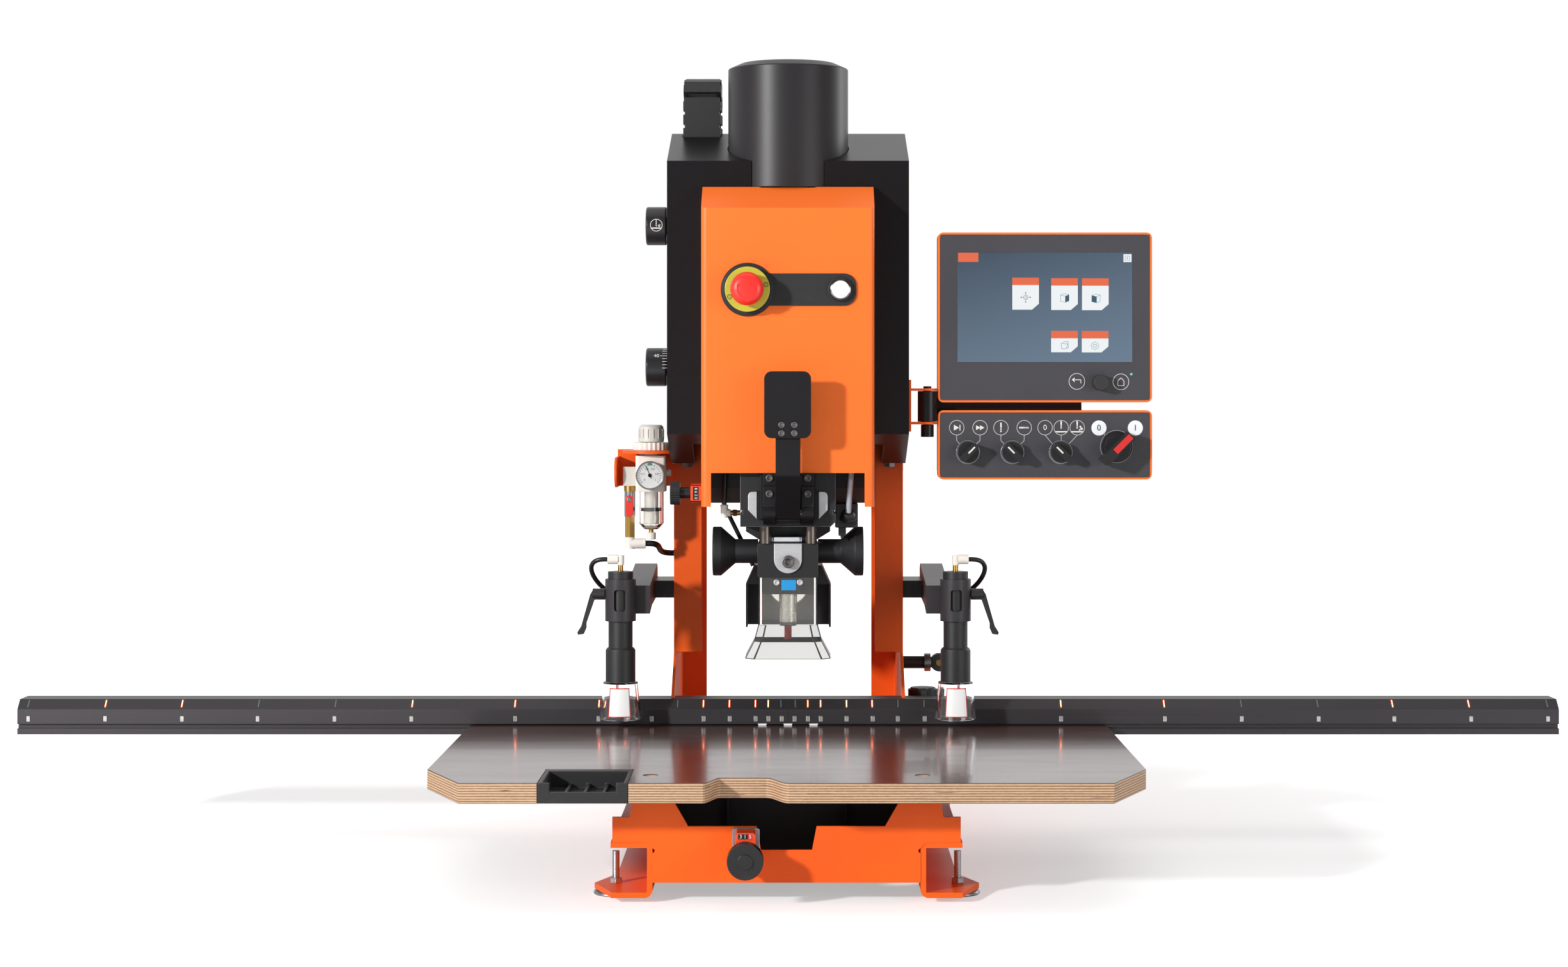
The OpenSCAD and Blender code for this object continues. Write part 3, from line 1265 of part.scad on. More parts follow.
// Regulator: square body, neck, locking ring, filter element and side fittings
reg_half = regulator_w / 2;
reg_z = [reg_top - 48, reg_top - 2.5];
ring_ribs = 24;
module regulator_body() {
    color(white) {
        difference() {
            union() {
                translate([reg_x, reg_y, reg_z[0]]) linear_extrude(reg_z[1] - reg_z[0])
                    rounded([-reg_half, reg_half], [-reg_half, reg_half], 4);
                rod_z(reg_neck, reg_x, reg_y, [reg_z[1] - 1, reg_top + 14]);
                translate([reg_x, reg_y, reg_top + 4.1]) knurled(23, 9.9, ring_ribs, 1.2);
            }
            rod_z(4.3, reg_x, reg_y, [reg_top, reg_top + 15]);
        }
        rod_z(9, reg_x, reg_y, [reg_z[0] - 22, reg_z[0] + 1]);
    }
    color(dark) rod_z(bowl_dia / 2 - 3, reg_x, reg_y, [reg_z[0] - 25, reg_z[0] - 21]);
    color(white) rod_z(10, reg_x, reg_y, [reg_z[0] - 41.5, reg_z[0] - 24]);
    color(brass) rod_x(4.5, [reg_x + reg_half - 1, -column_x - 1], reg_y, reg_top - 24);
}
module regulator_knob() color("silver") {
    translate([reg_x, reg_y, reg_top + 14.4]) rotate_extrude() polygon([
        [0, 0], [regulator_knob_dia / 2 - 0.5, 0], [regulator_knob_dia / 2, 1], [regulator_knob_dia / 2, 5],
        [regulator_knob_dia / 2 - 0.6, 6], [regulator_knob_dia / 2 - 0.6, 19],
        [regulator_knob_dia / 2 - 3, 21.5], [0, 21.5]
    ]);
    rod_z(4, reg_x, reg_y, [reg_top + 2, reg_top + 15]);
}
bowl_low = reg_top - 96;
bowl_wall = 2;
module bowl_shape(t) {
    rod_z(bowl_dia / 2 - t, reg_x, reg_y, [bowl_low + 8, reg_z[0] + t]);
    translate([reg_x, reg_y, bowl_low + 8]) mirror([0, 0, 1])
        cylinder(h = 8 - t, r1 = bowl_dia / 2 - t, r2 = bowl_dia / 2 - 7 - t);
}
module filter_bowl() {
    color(clear) difference() {
        bowl_shape(0);
        bowl_shape(bowl_wall);
    }
    color(steel) rod_z(3, reg_x, reg_y, [bowl_low - 5, bowl_low + 0.5]);
    color(white) translate([reg_x, reg_y, bowl_low - 13]) knurled(6, 9, 16, 0.5);
}
gauge_z = reg_top - 27;
gauge_t = 14;
module pressure_gauge() {
    color(steel) difference() {
        rod_y(gauge_dia / 2, reg_x, [reg_y - reg_half - gauge_t, reg_y - reg_half], gauge_z);
        rod_y(gauge_dia / 2 - 1.8, reg_x,
            [reg_y - reg_half - gauge_t - 1, reg_y - reg_half - gauge_t + 2.5], gauge_z);
    }
    color(dark) {
        rod_y(2.4, reg_x, [reg_y - reg_half - gauge_t + 0.8, reg_y - reg_half - gauge_t + 3], gauge_z);
        translate([reg_x, reg_y - reg_half - gauge_t + 2.2, gauge_z]) rotate([0, -22, 0])
            box([-0.5, 0.5], [-0.5, 0.4], [-4, 12.5]);
    }
}

// Shut-off valve: port block, ball valve, coupling and elbow
valve_x = reg_x - 27;
port_low = reg_top - 41;
port_high = reg_top - 17;
valve_low = reg_top - 80;
hex_low = reg_top - 106;
module valve_body() {
    color("silver") box([valve_x - 8, reg_x - reg_half], [reg_y - 8, reg_y + 8],
        [port_low, port_high]);
    color(brass) rod_z(7.5, valve_x, reg_y, [reg_z[0], port_low]);
    color(steel) difference() {
        rod_z(7, valve_x, reg_y, [valve_low, reg_z[0]]);
        rod_y(3.3, valve_x, [reg_y - 8, reg_y - 2], lever_pin_z);
    }
    color(brass) translate([valve_x, reg_y, hex_low]) hex(12, valve_low - hex_low);
    color(white) {
        rod_z(6.3, valve_x, reg_y, [elbow_low - 7, hex_low]);
        rod_x(6.6, [valve_x, valve_x + 20], reg_y, elbow_low);
    }
}
elbow_low = reg_top - 114;
lever_pin_z = reg_top - 58;
valve_arm = 22;
module valve_lever() {
    color("red") plate_y([reg_y - 13, reg_y - 9]) difference() {
        rounded([valve_x - 5, valve_x + 5], [lever_pin_z - valve_arm, lever_pin_z + 5], 4);
        translate([valve_x, lever_pin_z]) circle(2.9);
    }
    color(steel) rod_y(3, valve_x, [reg_y - 13.5, reg_y - 3], lever_pin_z);
}

// Air hoses: chosen points, one smooth stretch each
hose_steps = 14;
hold_hose_r = 3;
feed_hose_r = 3.8;
hold_hose = bend([hold_x + 16, hold_y, elbow_z], [36, 0, 0], [arm_out, hold_y + 44, 303], [-30, 0, 0],
    hose_steps);
feed_hose = bend([valve_x + 20, reg_y, elbow_low], [24, 0, 0], [-column_x, column_y + 18, 352],
    [26, 0, 0], hose_steps);
module air_hoses() color(black) {
    tube(hold_hose, hold_hose_r);
    mirror([1, 0, 0]) tube(hold_hose, hold_hose_r);
    tube(feed_hose, feed_hose_r);
}

// Leads on the head: air tube with its elbow, grey cable with its gland and plug
tube_x = -78;
port_z = 412;
gland_x = 73.5;
gland_y = gear_y[0] + 25;
air_tube = bend([tube_x, gland_y, port_z + 10], [0, 0, 40], [-70, 40, head_plate_z], [0, 0, 30], 12);
grey_cable = bend([gland_x, gland_y, 415], [0, 0, 40], [70, 40, head_plate_z], [0, 0, 34], 12);
module head_cables() {
    color(black) tube(air_tube, 3);
    color(white) {
        rod_z(4.5, tube_x, gland_y, [port_z - 6, port_z + 10]);
        rod_x(4, [tube_x, tube_x + 8], gland_y, port_z);
    }
    color(brass) rod_x(3.2, [tube_x + 8, -gear_w / 2], gland_y, port_z);
    color("gray") tube(grey_cable, 3.5);
    color(black) {
        rod_z(9.5, gland_x, gland_y, [402, 415]);
        box([gear_w / 2, gear_w / 2 + 29], [gland_y - 10, gland_y + 16], [388, 402]);
        rod_z(3, gland_x + 4, gland_y + 4, [380, 388]);
    }
}

// Frame screws: hexagon heads under the casing and on the rails
module frame_screws() color(steel) {
    both_sides() {
        translate([column_x - 18, column_y - 13, casing_foot - 5]) hex(13, 5);
        translate([column_x - 18, column_y + 90, lift_low - 5]) hex(13, 5);
    }
    both_sides() for (y = rail_bolt_y) {
        rod_z(bolt_dia / 2, rail_x + 26, y, [rail_top - rail_t, rail_top + 0.5]);
        translate([rail_x + 26, y, rail_top - rail_t - 5.5]) hex(13, 5.5);
        translate([rail_x + 26, y, rail_top]) hex(13, 5.5);
    }
}

base_rails();
cross_plates();
levelling_feet();
columns();
casing();
lift_frame();
lift_cylinder();
work_table();
parts_tray();
ruler_beam();
hold_down_arms();
hold_down_cylinders();
air_bracket();
regulator_body();
filter_bowl();
pressure_gauge();
valve_body();
air_hoses();
panel_bracket();
drag_chain();
frame_screws();
front_counter();
support_rod();
front_knob();
clamp_knob();
dial_upper();
dial_lower();
lever_left();
lever_right();
plunger_left();
plunger_right();
regulator_knob();
valve_lever();
stop_pins();
head_cover();
motor_cap();
motor();
head_carriage();
gear_housing();
slide_guides();
spindle_block();
grip_handles();
suction_hood();
chip_guard();
control_strip();
side_counter();
head_cables();
spindle();
estop_button();
start_button();
insertion_arm();
side_knob();
panel_arm();
display_panel();
switch_panel();
selector_1();
selector_2();
selector_3();
main_switch();
encoder_knob();
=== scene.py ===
"""Looks of the hinge boring machine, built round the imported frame. Metres, +X right, +Y away, +Z up."""

import math

import bpy
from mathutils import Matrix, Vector


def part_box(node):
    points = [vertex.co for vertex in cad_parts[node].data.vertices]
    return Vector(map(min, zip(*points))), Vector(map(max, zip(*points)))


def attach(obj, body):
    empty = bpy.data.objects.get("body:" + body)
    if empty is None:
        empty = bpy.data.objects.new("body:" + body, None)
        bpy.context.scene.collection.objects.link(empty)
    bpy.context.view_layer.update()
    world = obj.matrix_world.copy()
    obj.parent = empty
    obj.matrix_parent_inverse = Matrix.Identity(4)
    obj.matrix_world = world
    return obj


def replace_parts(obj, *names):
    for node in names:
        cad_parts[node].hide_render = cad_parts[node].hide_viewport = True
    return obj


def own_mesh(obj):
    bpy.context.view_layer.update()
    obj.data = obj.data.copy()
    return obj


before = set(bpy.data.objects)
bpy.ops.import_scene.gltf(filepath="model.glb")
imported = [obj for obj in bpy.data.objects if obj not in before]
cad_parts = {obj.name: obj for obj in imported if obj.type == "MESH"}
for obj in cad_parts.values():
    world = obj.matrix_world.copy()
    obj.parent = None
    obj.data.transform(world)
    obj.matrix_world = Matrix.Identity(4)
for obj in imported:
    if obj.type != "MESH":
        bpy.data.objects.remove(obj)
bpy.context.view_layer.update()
bpy.ops.object.select_all(action="DESELECT")

# Camera: in front of the fence at the height of the controls, level, with the frame shifted
# as a view camera's is. Its distance and lens come from the fence's real length in the picture.
FENCE_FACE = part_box("ruler_beam")[0].y
CAMERA_X, CAMERA_HEIGHT, CAMERA_DISTANCE = 0.0144, 0.570, 3.5
FULL_FRAME = 36
LENS = 64.36
SHIFT_RIGHT, SHIFT_UP = -0.0100, -0.0636
bpy.ops.object.camera_add(
    location=(CAMERA_X, FENCE_FACE - CAMERA_DISTANCE, CAMERA_HEIGHT), rotation=(math.radians(90), 0, 0)
)
camera = bpy.context.object
camera.data.sensor_width = FULL_FRAME
camera.data.lens = LENS
camera.data.shift_x = SHIFT_RIGHT
camera.data.shift_y = SHIFT_UP
bpy.context.scene.camera = camera
bpy.context.scene.view_settings.view_transform = "Standard"


class Value:
    """An output socket in a material. Arithmetic on values adds Math nodes."""

    def __init__(self, tree, socket=None):
        self.tree = tree
        self.socket = socket

    def join(self, value, socket):
        if isinstance(value, Value):
            self.tree.links.new(value.socket, socket)
        else:
            socket.default_value = value

    def node(self, kind, settings=None, links=None, out=0):
        """Any other node: its type, its settings, and the values or links of its sockets."""
        made = self.tree.nodes.new("ShaderNode" + kind)
        for name, setting in (settings or {}).items():
            if name == "stops":
                ramp = made.color_ramp
                while len(ramp.elements) < len(setting):
                    ramp.elements.new(1.0)
                for element, (position, colour) in zip(ramp.elements, setting):
                    element.position = position
                    element.color = colour
            else:
                setattr(made, name, setting)
        for name, value in (links or {}).items():
            self.join(value, made.inputs[name])
        return Value(self.tree, made.outputs[out])

    def math(self, operation, *values):
        return self.node("Math", {"operation": operation}, dict(enumerate(values)))

    def __add__(self, other):
        return self.math("ADD", self, other)

    __radd__ = __add__

    def __sub__(self, other):
        return self.math("SUBTRACT", self, other)

    def __rsub__(self, other):
        return self.math("SUBTRACT", other, self)

    def __mul__(self, other):
        return self.math("MULTIPLY", self, other)

    __rmul__ = __mul__

    def __truediv__(self, other):
        return self.math("DIVIDE", self, other)

    def __pow__(self, other):
        return self.math("POWER", self, other)

    def __abs__(self):
        return self.math("ABSOLUTE", self)

    def __gt__(self, other):
        return self.math("GREATER_THAN", self, other)

    def __lt__(self, other):
        return self.math("LESS_THAN", self, other)

    def noise(self, scale, detail=2.0, roughness=0.5):
        links = {"Vector": self, "Scale": scale, "Detail": detail, "Roughness": roughness}
        return self.node("TexNoise", {}, links)

    def mix(self, share, first, second):
        settings = {"data_type": "RGBA", "clamp_factor": True}
        return self.node("Mix", settings, {0: share, 6: first, 7: second}, out=2)

    def between(self, share, first, second):
        return self.node("Mix", {"data_type": "FLOAT", "clamp_factor": True}, {0: share, 2: first, 3: second})

    def bump(self, height, depth, strength=1.0):
        return self.node("Bump", {}, {"Height": height, "Distance": depth, "Strength": strength})

    def stretched(self, scale):
        return self.node("Mapping", {}, {"Vector": self, "Scale": scale})

    def axis(self, name):
        return self.node("SeparateXYZ", {}, {0: self}, out=name)

    def spread(self, low, high):
        """0 below low, 1 above high, straight between them"""
        return self.node("MapRange", {"clamp": True}, {"Value": self, "From Min": low, "From Max": high})


def colour(red, green, blue):
    """A colour as it looks on screen, 0 to 255, as the shader's linear one"""
    parts = [c / 255 for c in (red, green, blue)]
    return tuple(p / 12.92 if p < 0.04045 else ((p + 0.055) / 1.055) ** 2.4 for p in parts) + (1.0,)


def finish(name, recipe):
    """A material whose shader takes the sockets that recipe gives for a point of the machine"""
    material = bpy.data.materials.new(name)
    material.use_nodes = True
    shader = material.node_tree.nodes["Principled BSDF"]
    place = Value(material.node_tree).node("TexCoord", out="Object")
    for socket, value in recipe(place).items():
        place.join(value, shader.inputs[socket])
    return material


# Studio: a wide pale floor and a small hard key lamp at the upper left front, with a broad fill, a
# top lamp and a rim lamp. The floor keeps the shadow at the feet and fades to the white backdrop
# further off. Gloss sees a dark room on the camera's side.
FLOOR_SIZE = 30
PAPER_TONES = ((0.86, 0.86, 0.86, 1), (0.9, 0.9, 0.9, 1))
WHITE = (1, 1, 1, 1)
NEAR_GLOW, ADDED_GLOW = 0.42, 0.7
FADE_START, FADE_END = 0.9, 1.7
SURROUND = 0.36
DARK_SIDE = 0.09
bpy.ops.mesh.primitive_plane_add(size=FLOOR_SIZE)
floor = bpy.context.object
floor.name = "studio_floor"
pale = bpy.data.materials.new("pale_floor")
pale.use_nodes = True
paper = Value(pale.node_tree)
seen = paper.math("MAXIMUM", paper.node("LightPath", out="Is Camera Ray"),
                  paper.node("LightPath", out="Is Transmission Ray"))
spot = paper.node("TexCoord", out="Object")
distance = spot.node("VectorMath", {"operation": "LENGTH"}, {0: spot}, out="Value")
fade = NEAR_GLOW + ADDED_GLOW * distance.spread(FADE_START, FADE_END)
diffuse = paper.node("BsdfDiffuse", {}, {"Color": paper.mix(spot.noise(3.0), *PAPER_TONES)})
glow = paper.node("Emission", {}, {"Color": WHITE, "Strength": seen * fade})
both = paper.node("AddShader", {}, {0: diffuse, 1: glow})
paper.join(both, pale.node_tree.nodes["Material Output"].inputs["Surface"])
floor.data.materials.append(pale)

world = bpy.data.worlds.new("white_surround")
world.use_nodes = True
bpy.context.scene.world = world
room = Value(world.node_tree)
straight = room.node("LightPath", out="Is Camera Ray")
mirrored = room.node("LightPath", out="Is Glossy Ray")
through = room.node("LightPath", out="Is Transmission Ray")
backdrop = room.node("TexCoord", out="Generated").axis("Y").spread(-0.15, 0.45)
studio = SURROUND + mirrored * (DARK_SIDE - SURROUND + (1 - DARK_SIDE) * backdrop)
sight = room.math("MAXIMUM", straight, through)
background = world.node_tree.nodes["Background"]
background.inputs["Color"].default_value = WHITE
room.join(room.math("MAXIMUM", studio, sight), background.inputs["Strength"])


HEAD_MIDDLE = Vector((0, 0, 0.55))


def area_lamp(name, position, width, height, watts):
    """A rectangular lamp that looks at the middle of the head"""
    bpy.ops.object.light_add(type="AREA", location=position)
    lamp = bpy.context.object
    lamp.name = name
    lamp.data.shape = "RECTANGLE"
    lamp.data.size = width
    lamp.data.size_y = height
    lamp.data.energy = watts
    lamp.rotation_euler = (HEAD_MIDDLE - Vector(position)).to_track_quat("-Z", "Y").to_euler()


area_lamp("key_lamp", (-2.5, -2.85, 1.40), 0.25, 0.25, 135)
area_lamp("fill_lamp", (2.6, -2.6, 0.6), 1.6, 1.6, 34)
area_lamp("top_lamp", (0, -0.4, 3.2), 3.0, 2.0, 16)
area_lamp("rim_lamp", (2.7, 1.7, 1.1), 0.6, 1.6, 22)

# Base: two folded steel rails joined by a front and a rear plate and by gussets under the table,
# all powder-coated orange. The table is screwed down on the plates' flanges.
ORANGE = colour(249, 98, 18)
ORANGE_WORN = colour(238, 86, 14)


def powder_coat(hue, second_tone, roughness):
    """Baked-on powder paint: fine orange peel, faint patches and a few rubbed spots"""
    def recipe(place):
        peel = place.noise(1100, 2.0)
        patches = place.noise(5.0, 4.0).spread(0.35, 0.7)
        rubbed = place.noise(60, 6.0, 0.7).spread(0.66, 0.74)
        return {
            "Base Color": place.mix(patches, hue, second_tone),
            "Roughness": roughness + 0.08 * patches + 0.12 * rubbed,
            "Specular IOR Level": 0.3,
            "Normal": place.bump(peel + 0.6 * rubbed, 0.00006),
        }
    return recipe


def dress(node, material, edge=0.0, steps=2, angle=35, parts=(), second_tone=None):
    """Gives a CAD node its finish and breaks its sharp edges by edge metres. Parts are other
    materials, each with a test on a face's middle; second_tone is what shows along the broken edges."""
    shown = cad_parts[node]
    for place in shown.material_slots:
        place.material = material
    for other, test in parts:
        shown.data.materials.append(other)
        index = len(shown.data.materials) - 1
        for face in shown.data.polygons:
            if test(face.center):
                face.material_index = index
    shown.modifiers.new("weld", "WELD").merge_threshold = 0.00001
    if edge:
        flats = shown.modifiers.new("flats", "DECIMATE")
        flats.decimate_type = "DISSOLVE"
        flats.angle_limit = math.radians(0.2)
        flats.delimit = {"MATERIAL"}
        broken = shown.modifiers.new("broken_edges", "BEVEL")
        broken.width = edge
        broken.segments = steps
        broken.angle_limit = math.radians(angle)
        if second_tone:
            shown.data.materials.append(second_tone)
            broken.material = len(shown.data.materials) - 1
        shown.modifiers.new("even_shading", "WEIGHTED_NORMAL").keep_sharp = True


orange_coat = finish("orange_powder_coat", powder_coat(ORANGE, ORANGE_WORN, 0.38))
dress("base_rails", orange_coat, 0.0006)
dress("cross_plates", orange_coat, 0.0006)

# Levelling feet: zinc-plated M8 studs with hexagon nuts on turned 50 mm discs. The plating is
# bright with a bluish cast, and the thread is cut by a fine bump that follows the stud's height.
THREAD_PITCH = 0.00125


def zinc(place):
    """Zinc plate with fine ridges round it, one to each pitch of the thread"""
    streaks = place.stretched((400, 400, 60)).noise(1.0, 3.0)
    turns = place.axis("Z").math("SINE", place.axis("Z") * (math.tau / THREAD_PITCH))
    return {
        "Base Color": place.mix(streaks, colour(150, 150, 156), colour(205, 205, 208)),
        "Metallic": 1.0,
        "Roughness": 0.24 + 0.22 * streaks,
        "Normal": place.bump(turns, 0.00018, 0.5),
    }


zinc_plate = finish("zinc_plate", zinc)
dress("levelling_feet", zinc_plate, 0.0003)


def steel(light, dark, roughness, along=(60, 900, 900), metal=1.0):
    """Bare steel or aluminium with fine machining lines at right angles to along's small number"""
    def recipe(place):
        lines = place.stretched(along).noise(1.0, 3.0)
        clouds = place.noise(25, 3.0)
        return {
            "Base Color": place.mix(lines * 0.6 + clouds * 0.4, dark, light),
            "Metallic": metal,
            "Roughness": roughness + 0.16 * lines,
            "Normal": place.bump(lines, 0.00002, 0.4),
        }
    return recipe


bright_steel = finish("bright_steel", steel(colour(214, 213, 210), colour(160, 159, 157), 0.2))
dress("frame_screws", zinc_plate, 0.0002)

# Columns: two folded channels of 3 mm plate, coated like the base, which carry the casing and
# the lift of the boring head.
dress("columns", orange_coat, 0.0008)

# Table: 22 mm plywood with a glossy phenolic film on both faces and sawn, oiled edges that show
# the plies. The film is dark brown, smooth but slightly wavy.
TABLE_LOW, TABLE_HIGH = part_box("work_table")
PLY_COUNT = 8
FILM_THICKNESS = 0.0006


def film_plywood(place):
    """Film on the flat faces, plies with end grain on the edges"""
    upright = abs(place.node("TexCoord", out="Normal").axis("Z"))
    edge = upright < 0.7
    height = (place.axis("Z") - TABLE_LOW.z) / (TABLE_HIGH.z - TABLE_LOW.z)
    waver = place.stretched((5, 5, 300)).noise(1.0, 3.0) * 0.05
    layer = place.math("PINGPONG", (height + waver) * PLY_COUNT, 0.5) * 2
    along = place.stretched((26, 26, 1500)).noise(1.0, 8.0, 0.65)
    fibres = place.stretched((240, 240, 900)).noise(1.0, 4.0, 0.6)
    knots = place.stretched((18, 18, 520)).noise(1.0, 2.0).spread(0.70, 0.74)
    pale = place.mix(along, colour(186, 146, 108), colour(232, 205, 172))
    plies = place.mix((layer * 0.72 + fibres * 0.42 - 0.12).spread(0.12, 0.82), colour(128, 88, 60), pale)
    plies = place.mix(knots, plies, colour(84, 52, 36))
    skin = (height > 1 - FILM_THICKNESS / (TABLE_HIGH.z - TABLE_LOW.z)) + (height < 0.03)
    plies = place.mix(skin, plies, colour(62, 42, 36))
    mottle = place.stretched((9, 30, 9)).noise(1.0, 5.0, 0.6)
    film = place.mix(mottle, colour(70, 48, 42), colour(88, 64, 56))
    waves = place.stretched((14, 3, 14)).noise(1.0, 2.0)
    weave = place.stretched((900, 260, 900)).noise(1.0, 2.0)
    height_map = place.between(edge, waves * 1.0 + weave * 0.035, fibres * 0.4 + layer * 0.2)
    return {
        "Base Color": place.mix(edge, film, plies),
        "Roughness": place.between(edge, 0.13 + 0.10 * mottle, 0.62),
        "Coat Weight": 0.12 * (1 - edge),
        "Normal": place.bump(height_map, 0.0004, 0.25),
    }


plywood = finish("film_faced_plywood", film_plywood)
dress("work_table", plywood, 0.0004, 1)

# Small parts tray: injection-moulded black plastic with a fine spark texture, clipped into the
# table's front edge, worn grey where screws have slid over its ribs.
def shaded(hue, times, plus=0.0):
    """A paler or darker tone of a hue"""
    return tuple(min(1.0, c * times + plus) for c in hue[:3]) + (1.0,)


def moulded(hue, roughness, texture=0.00005):
    """Moulded plastic with a spark-eroded skin and faint scuffs"""
    def recipe(place):
        skin = place.noise(1500, 2.0)
        scuffs = place.stretched((30, 190, 30)).noise(1.0, 6.0, 0.7).spread(0.60, 0.80)
        return {
            "Base Color": place.mix(scuffs, hue, shaded(hue, 1.3, 0.012)),
            "Roughness": roughness + 0.07 * skin - 0.08 * scuffs,
            "Normal": place.bump(skin, texture),
        }
    return recipe


BLACK = colour(34, 33, 35)
black_moulding = finish("black_moulding", moulded(BLACK, 0.45))
dress("parts_tray", black_moulding, 0.0012, 3)

# Fence: a 1.9 m aluminium extrusion, black anodised, with a bevel along its top where the lamps
# of the stop pins shine through, and fine drawing lines along its length.
def anodised(hue, roughness):
    """Anodised aluminium with the die's lines along X"""
    def recipe(place):
        lines = place.stretched((3, 2600, 2600)).noise(1.0, 3.0)
        patches = place.stretched((2, 8, 8)).noise(1.0, 3.0)
        return {
            "Base Color": place.mix(lines * 0.5 + patches * 0.4, hue, shaded(hue, 1.7, 0.01)),
            "Metallic": 0.55,
            "Roughness": roughness + 0.16 * lines,
            "Normal": place.bump(lines, 0.00003, 0.5),
        }
    return recipe


black_anodised = finish("black_anodised", anodised(colour(55, 52, 55), 0.38))
dress("ruler_beam", black_anodised, 0.0005)
pin_steel = finish("pin_steel", steel(colour(232, 228, 224), colour(160, 156, 154), 0.3, metal=0.7))
dress("stop_pins", pin_steel, 0.0005)

# Position lamps: slits in the fence's bevel, one over each stop pin, lit red over the pins that
# the chosen pattern uses. Each is a light guide of clear plastic set into the slit.
LAMP_WIDTH = 0.0016
LAMP_HEIGHT = 0.0120
LAMPS_LIT = (
    -0.8535, -0.758, -0.470, -0.3415, -0.2365, -0.204, -0.106, -0.0735, -0.041, -0.025,
    0.0245, 0.0405, 0.073, 0.105, 0.2015, 0.341, 0.470, 0.7555, 0.851,
)
LAMPS_DARK = (-0.950, -0.662, -0.566, -0.138, -0.009, 0.009, 0.1375, 0.170, 0.5665, 0.662, 0.949)
FENCE_TOP = TABLE_HIGH.z + 0.0315
BEVEL_RISE = 0.0105
BEVEL_DEPTH = 0.0115
LAMP_LEAN = math.atan2(BEVEL_DEPTH, BEVEL_RISE)
LAMP_MIDDLE = (FENCE_FACE + 0.001 + BEVEL_DEPTH / 2, FENCE_TOP - BEVEL_RISE / 2)


def glow_of(hue, strength):
    """The light of one colour that fills a clear guide"""
    def recipe(place):
        return {
            "Base Color": hue,
            "Roughness": 0.3,
            "Emission Color": hue,
            "Emission Strength": strength,
        }
    return recipe


def choose(piece):
    """Selects one piece and nothing else"""
    bpy.ops.object.select_all(action="DESELECT")
    piece.select_set(True)
    bpy.context.view_layer.objects.active = piece


def at_origin(piece, material, body, name=None):
    """Applies a piece's place to its mesh, gives it its finish and name and lets it ride on a body"""
    choose(piece)
    bpy.ops.object.transform_apply(location=True, rotation=True, scale=True)
    piece.name = name or piece.name
    piece.data.materials.clear()
    piece.data.materials.append(material)
    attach(piece, body)
    return piece


def joined(pieces, name):
    """Several like pieces as one object"""
    bpy.ops.object.select_all(action="DESELECT")
    for piece in pieces:
        piece.select_set(True)
    bpy.context.view_layer.objects.active = pieces[0]
    if len(pieces) > 1:
        bpy.ops.object.join()
    whole = bpy.context.object
    whole.name = name
    return whole


def changed(piece, modifier):
    """Applies a modifier to its piece"""
    bpy.context.view_layer.objects.active = piece
    bpy.ops.object.modifier_apply(modifier=modifier.name)
    return piece


def eased(piece, edge, steps=2):
    """Rounds a piece's sharp edges by edge metres"""
    rounding = piece.modifiers.new("rounded_edges", "BEVEL")
    rounding.width = edge
    rounding.segments = steps
    return changed(piece, rounding)


def block(size, centre, edge, steps=2):
    """A block with rounded edges at its real size"""
    bpy.ops.mesh.primitive_cube_add(size=1, location=centre)
    made = bpy.context.object
    made.scale = size
    bpy.ops.object.transform_apply(location=False, rotation=False, scale=True)
    return eased(made, edge, steps)


def light_guide(x, width=LAMP_WIDTH, depth=0.0010, height=LAMP_HEIGHT, edge=0.0004):
    """A slip of clear plastic that leans back in the fence's bevel"""
    guide = block((width, depth, height), (x, 0, 0), edge)
    guide.rotation_euler.x = -LAMP_LEAN
    guide.location = (x, *LAMP_MIDDLE)
    return guide


lamp_red = finish("lamp_red", glow_of(colour(255, 60, 20), 9.0))
lamp_core = finish("lamp_core", glow_of(colour(255, 214, 150), 5.0))
lamp_off = finish("lamp_off", moulded(colour(88, 104, 100), 0.3))
at_origin(joined([light_guide(x) for x in LAMPS_LIT], "fence_lamps_lit"), lamp_red, "root")
at_origin(joined([light_guide(x) for x in LAMPS_DARK], "fence_lamps_dark"), lamp_off, "root")
cores = [light_guide(x, LAMP_WIDTH * 0.5, 0.0014, LAMP_HEIGHT * 0.86, 0.0003) for x in LAMPS_LIT]
at_origin(joined(cores, "fence_lamp_cores"), lamp_core, "root")

# Casing: a folded sheet-steel housing over the lift, in fine black textured powder coat whose
# folds catch the light. Motor cap: spun sheet in smooth satin black, open at the bottom.
def black_coat(hue, roughness, texture):
    """Black powder coat with a fine leather-like texture"""
    def recipe(place):
        grit = place.noise(900, 3.0, 0.6)
        clouds = place.noise(4.0, 3.0)
        return {
            "Base Color": place.mix(clouds, hue, shaded(hue, 1.25)),
            "Roughness": roughness + 0.08 * grit,
            "Specular IOR Level": 0.3,
            "Normal": place.bump(grit, texture),
        }
    return recipe


casing_coat = finish("black_textured_coat", black_coat(colour(20, 17, 20), 0.27, 0.00008))
cap_coat = finish("black_satin_coat", black_coat(colour(38, 36, 38), 0.36, 0.00003))
dress("casing", casing_coat, 0.0035, 4)
dress("motor_cap", cap_coat, 0.0012, 3, 25)

# Lift behind the head: hard-chromed rods in a plate frame, an air cylinder between them and the
# cast carriage that the whole head hangs on. The motor stands under its cap.
cast_aluminium = finish("machined_aluminium", steel(colour(196, 197, 198), colour(140, 141, 143), 0.34))
dress("lift_frame", bright_steel, 0.0006)
dress("lift_cylinder", cast_aluminium, 0.0006)
dress("head_carriage", cast_aluminium, 0.0008)
dress("motor", cast_aluminium, 0.0006)

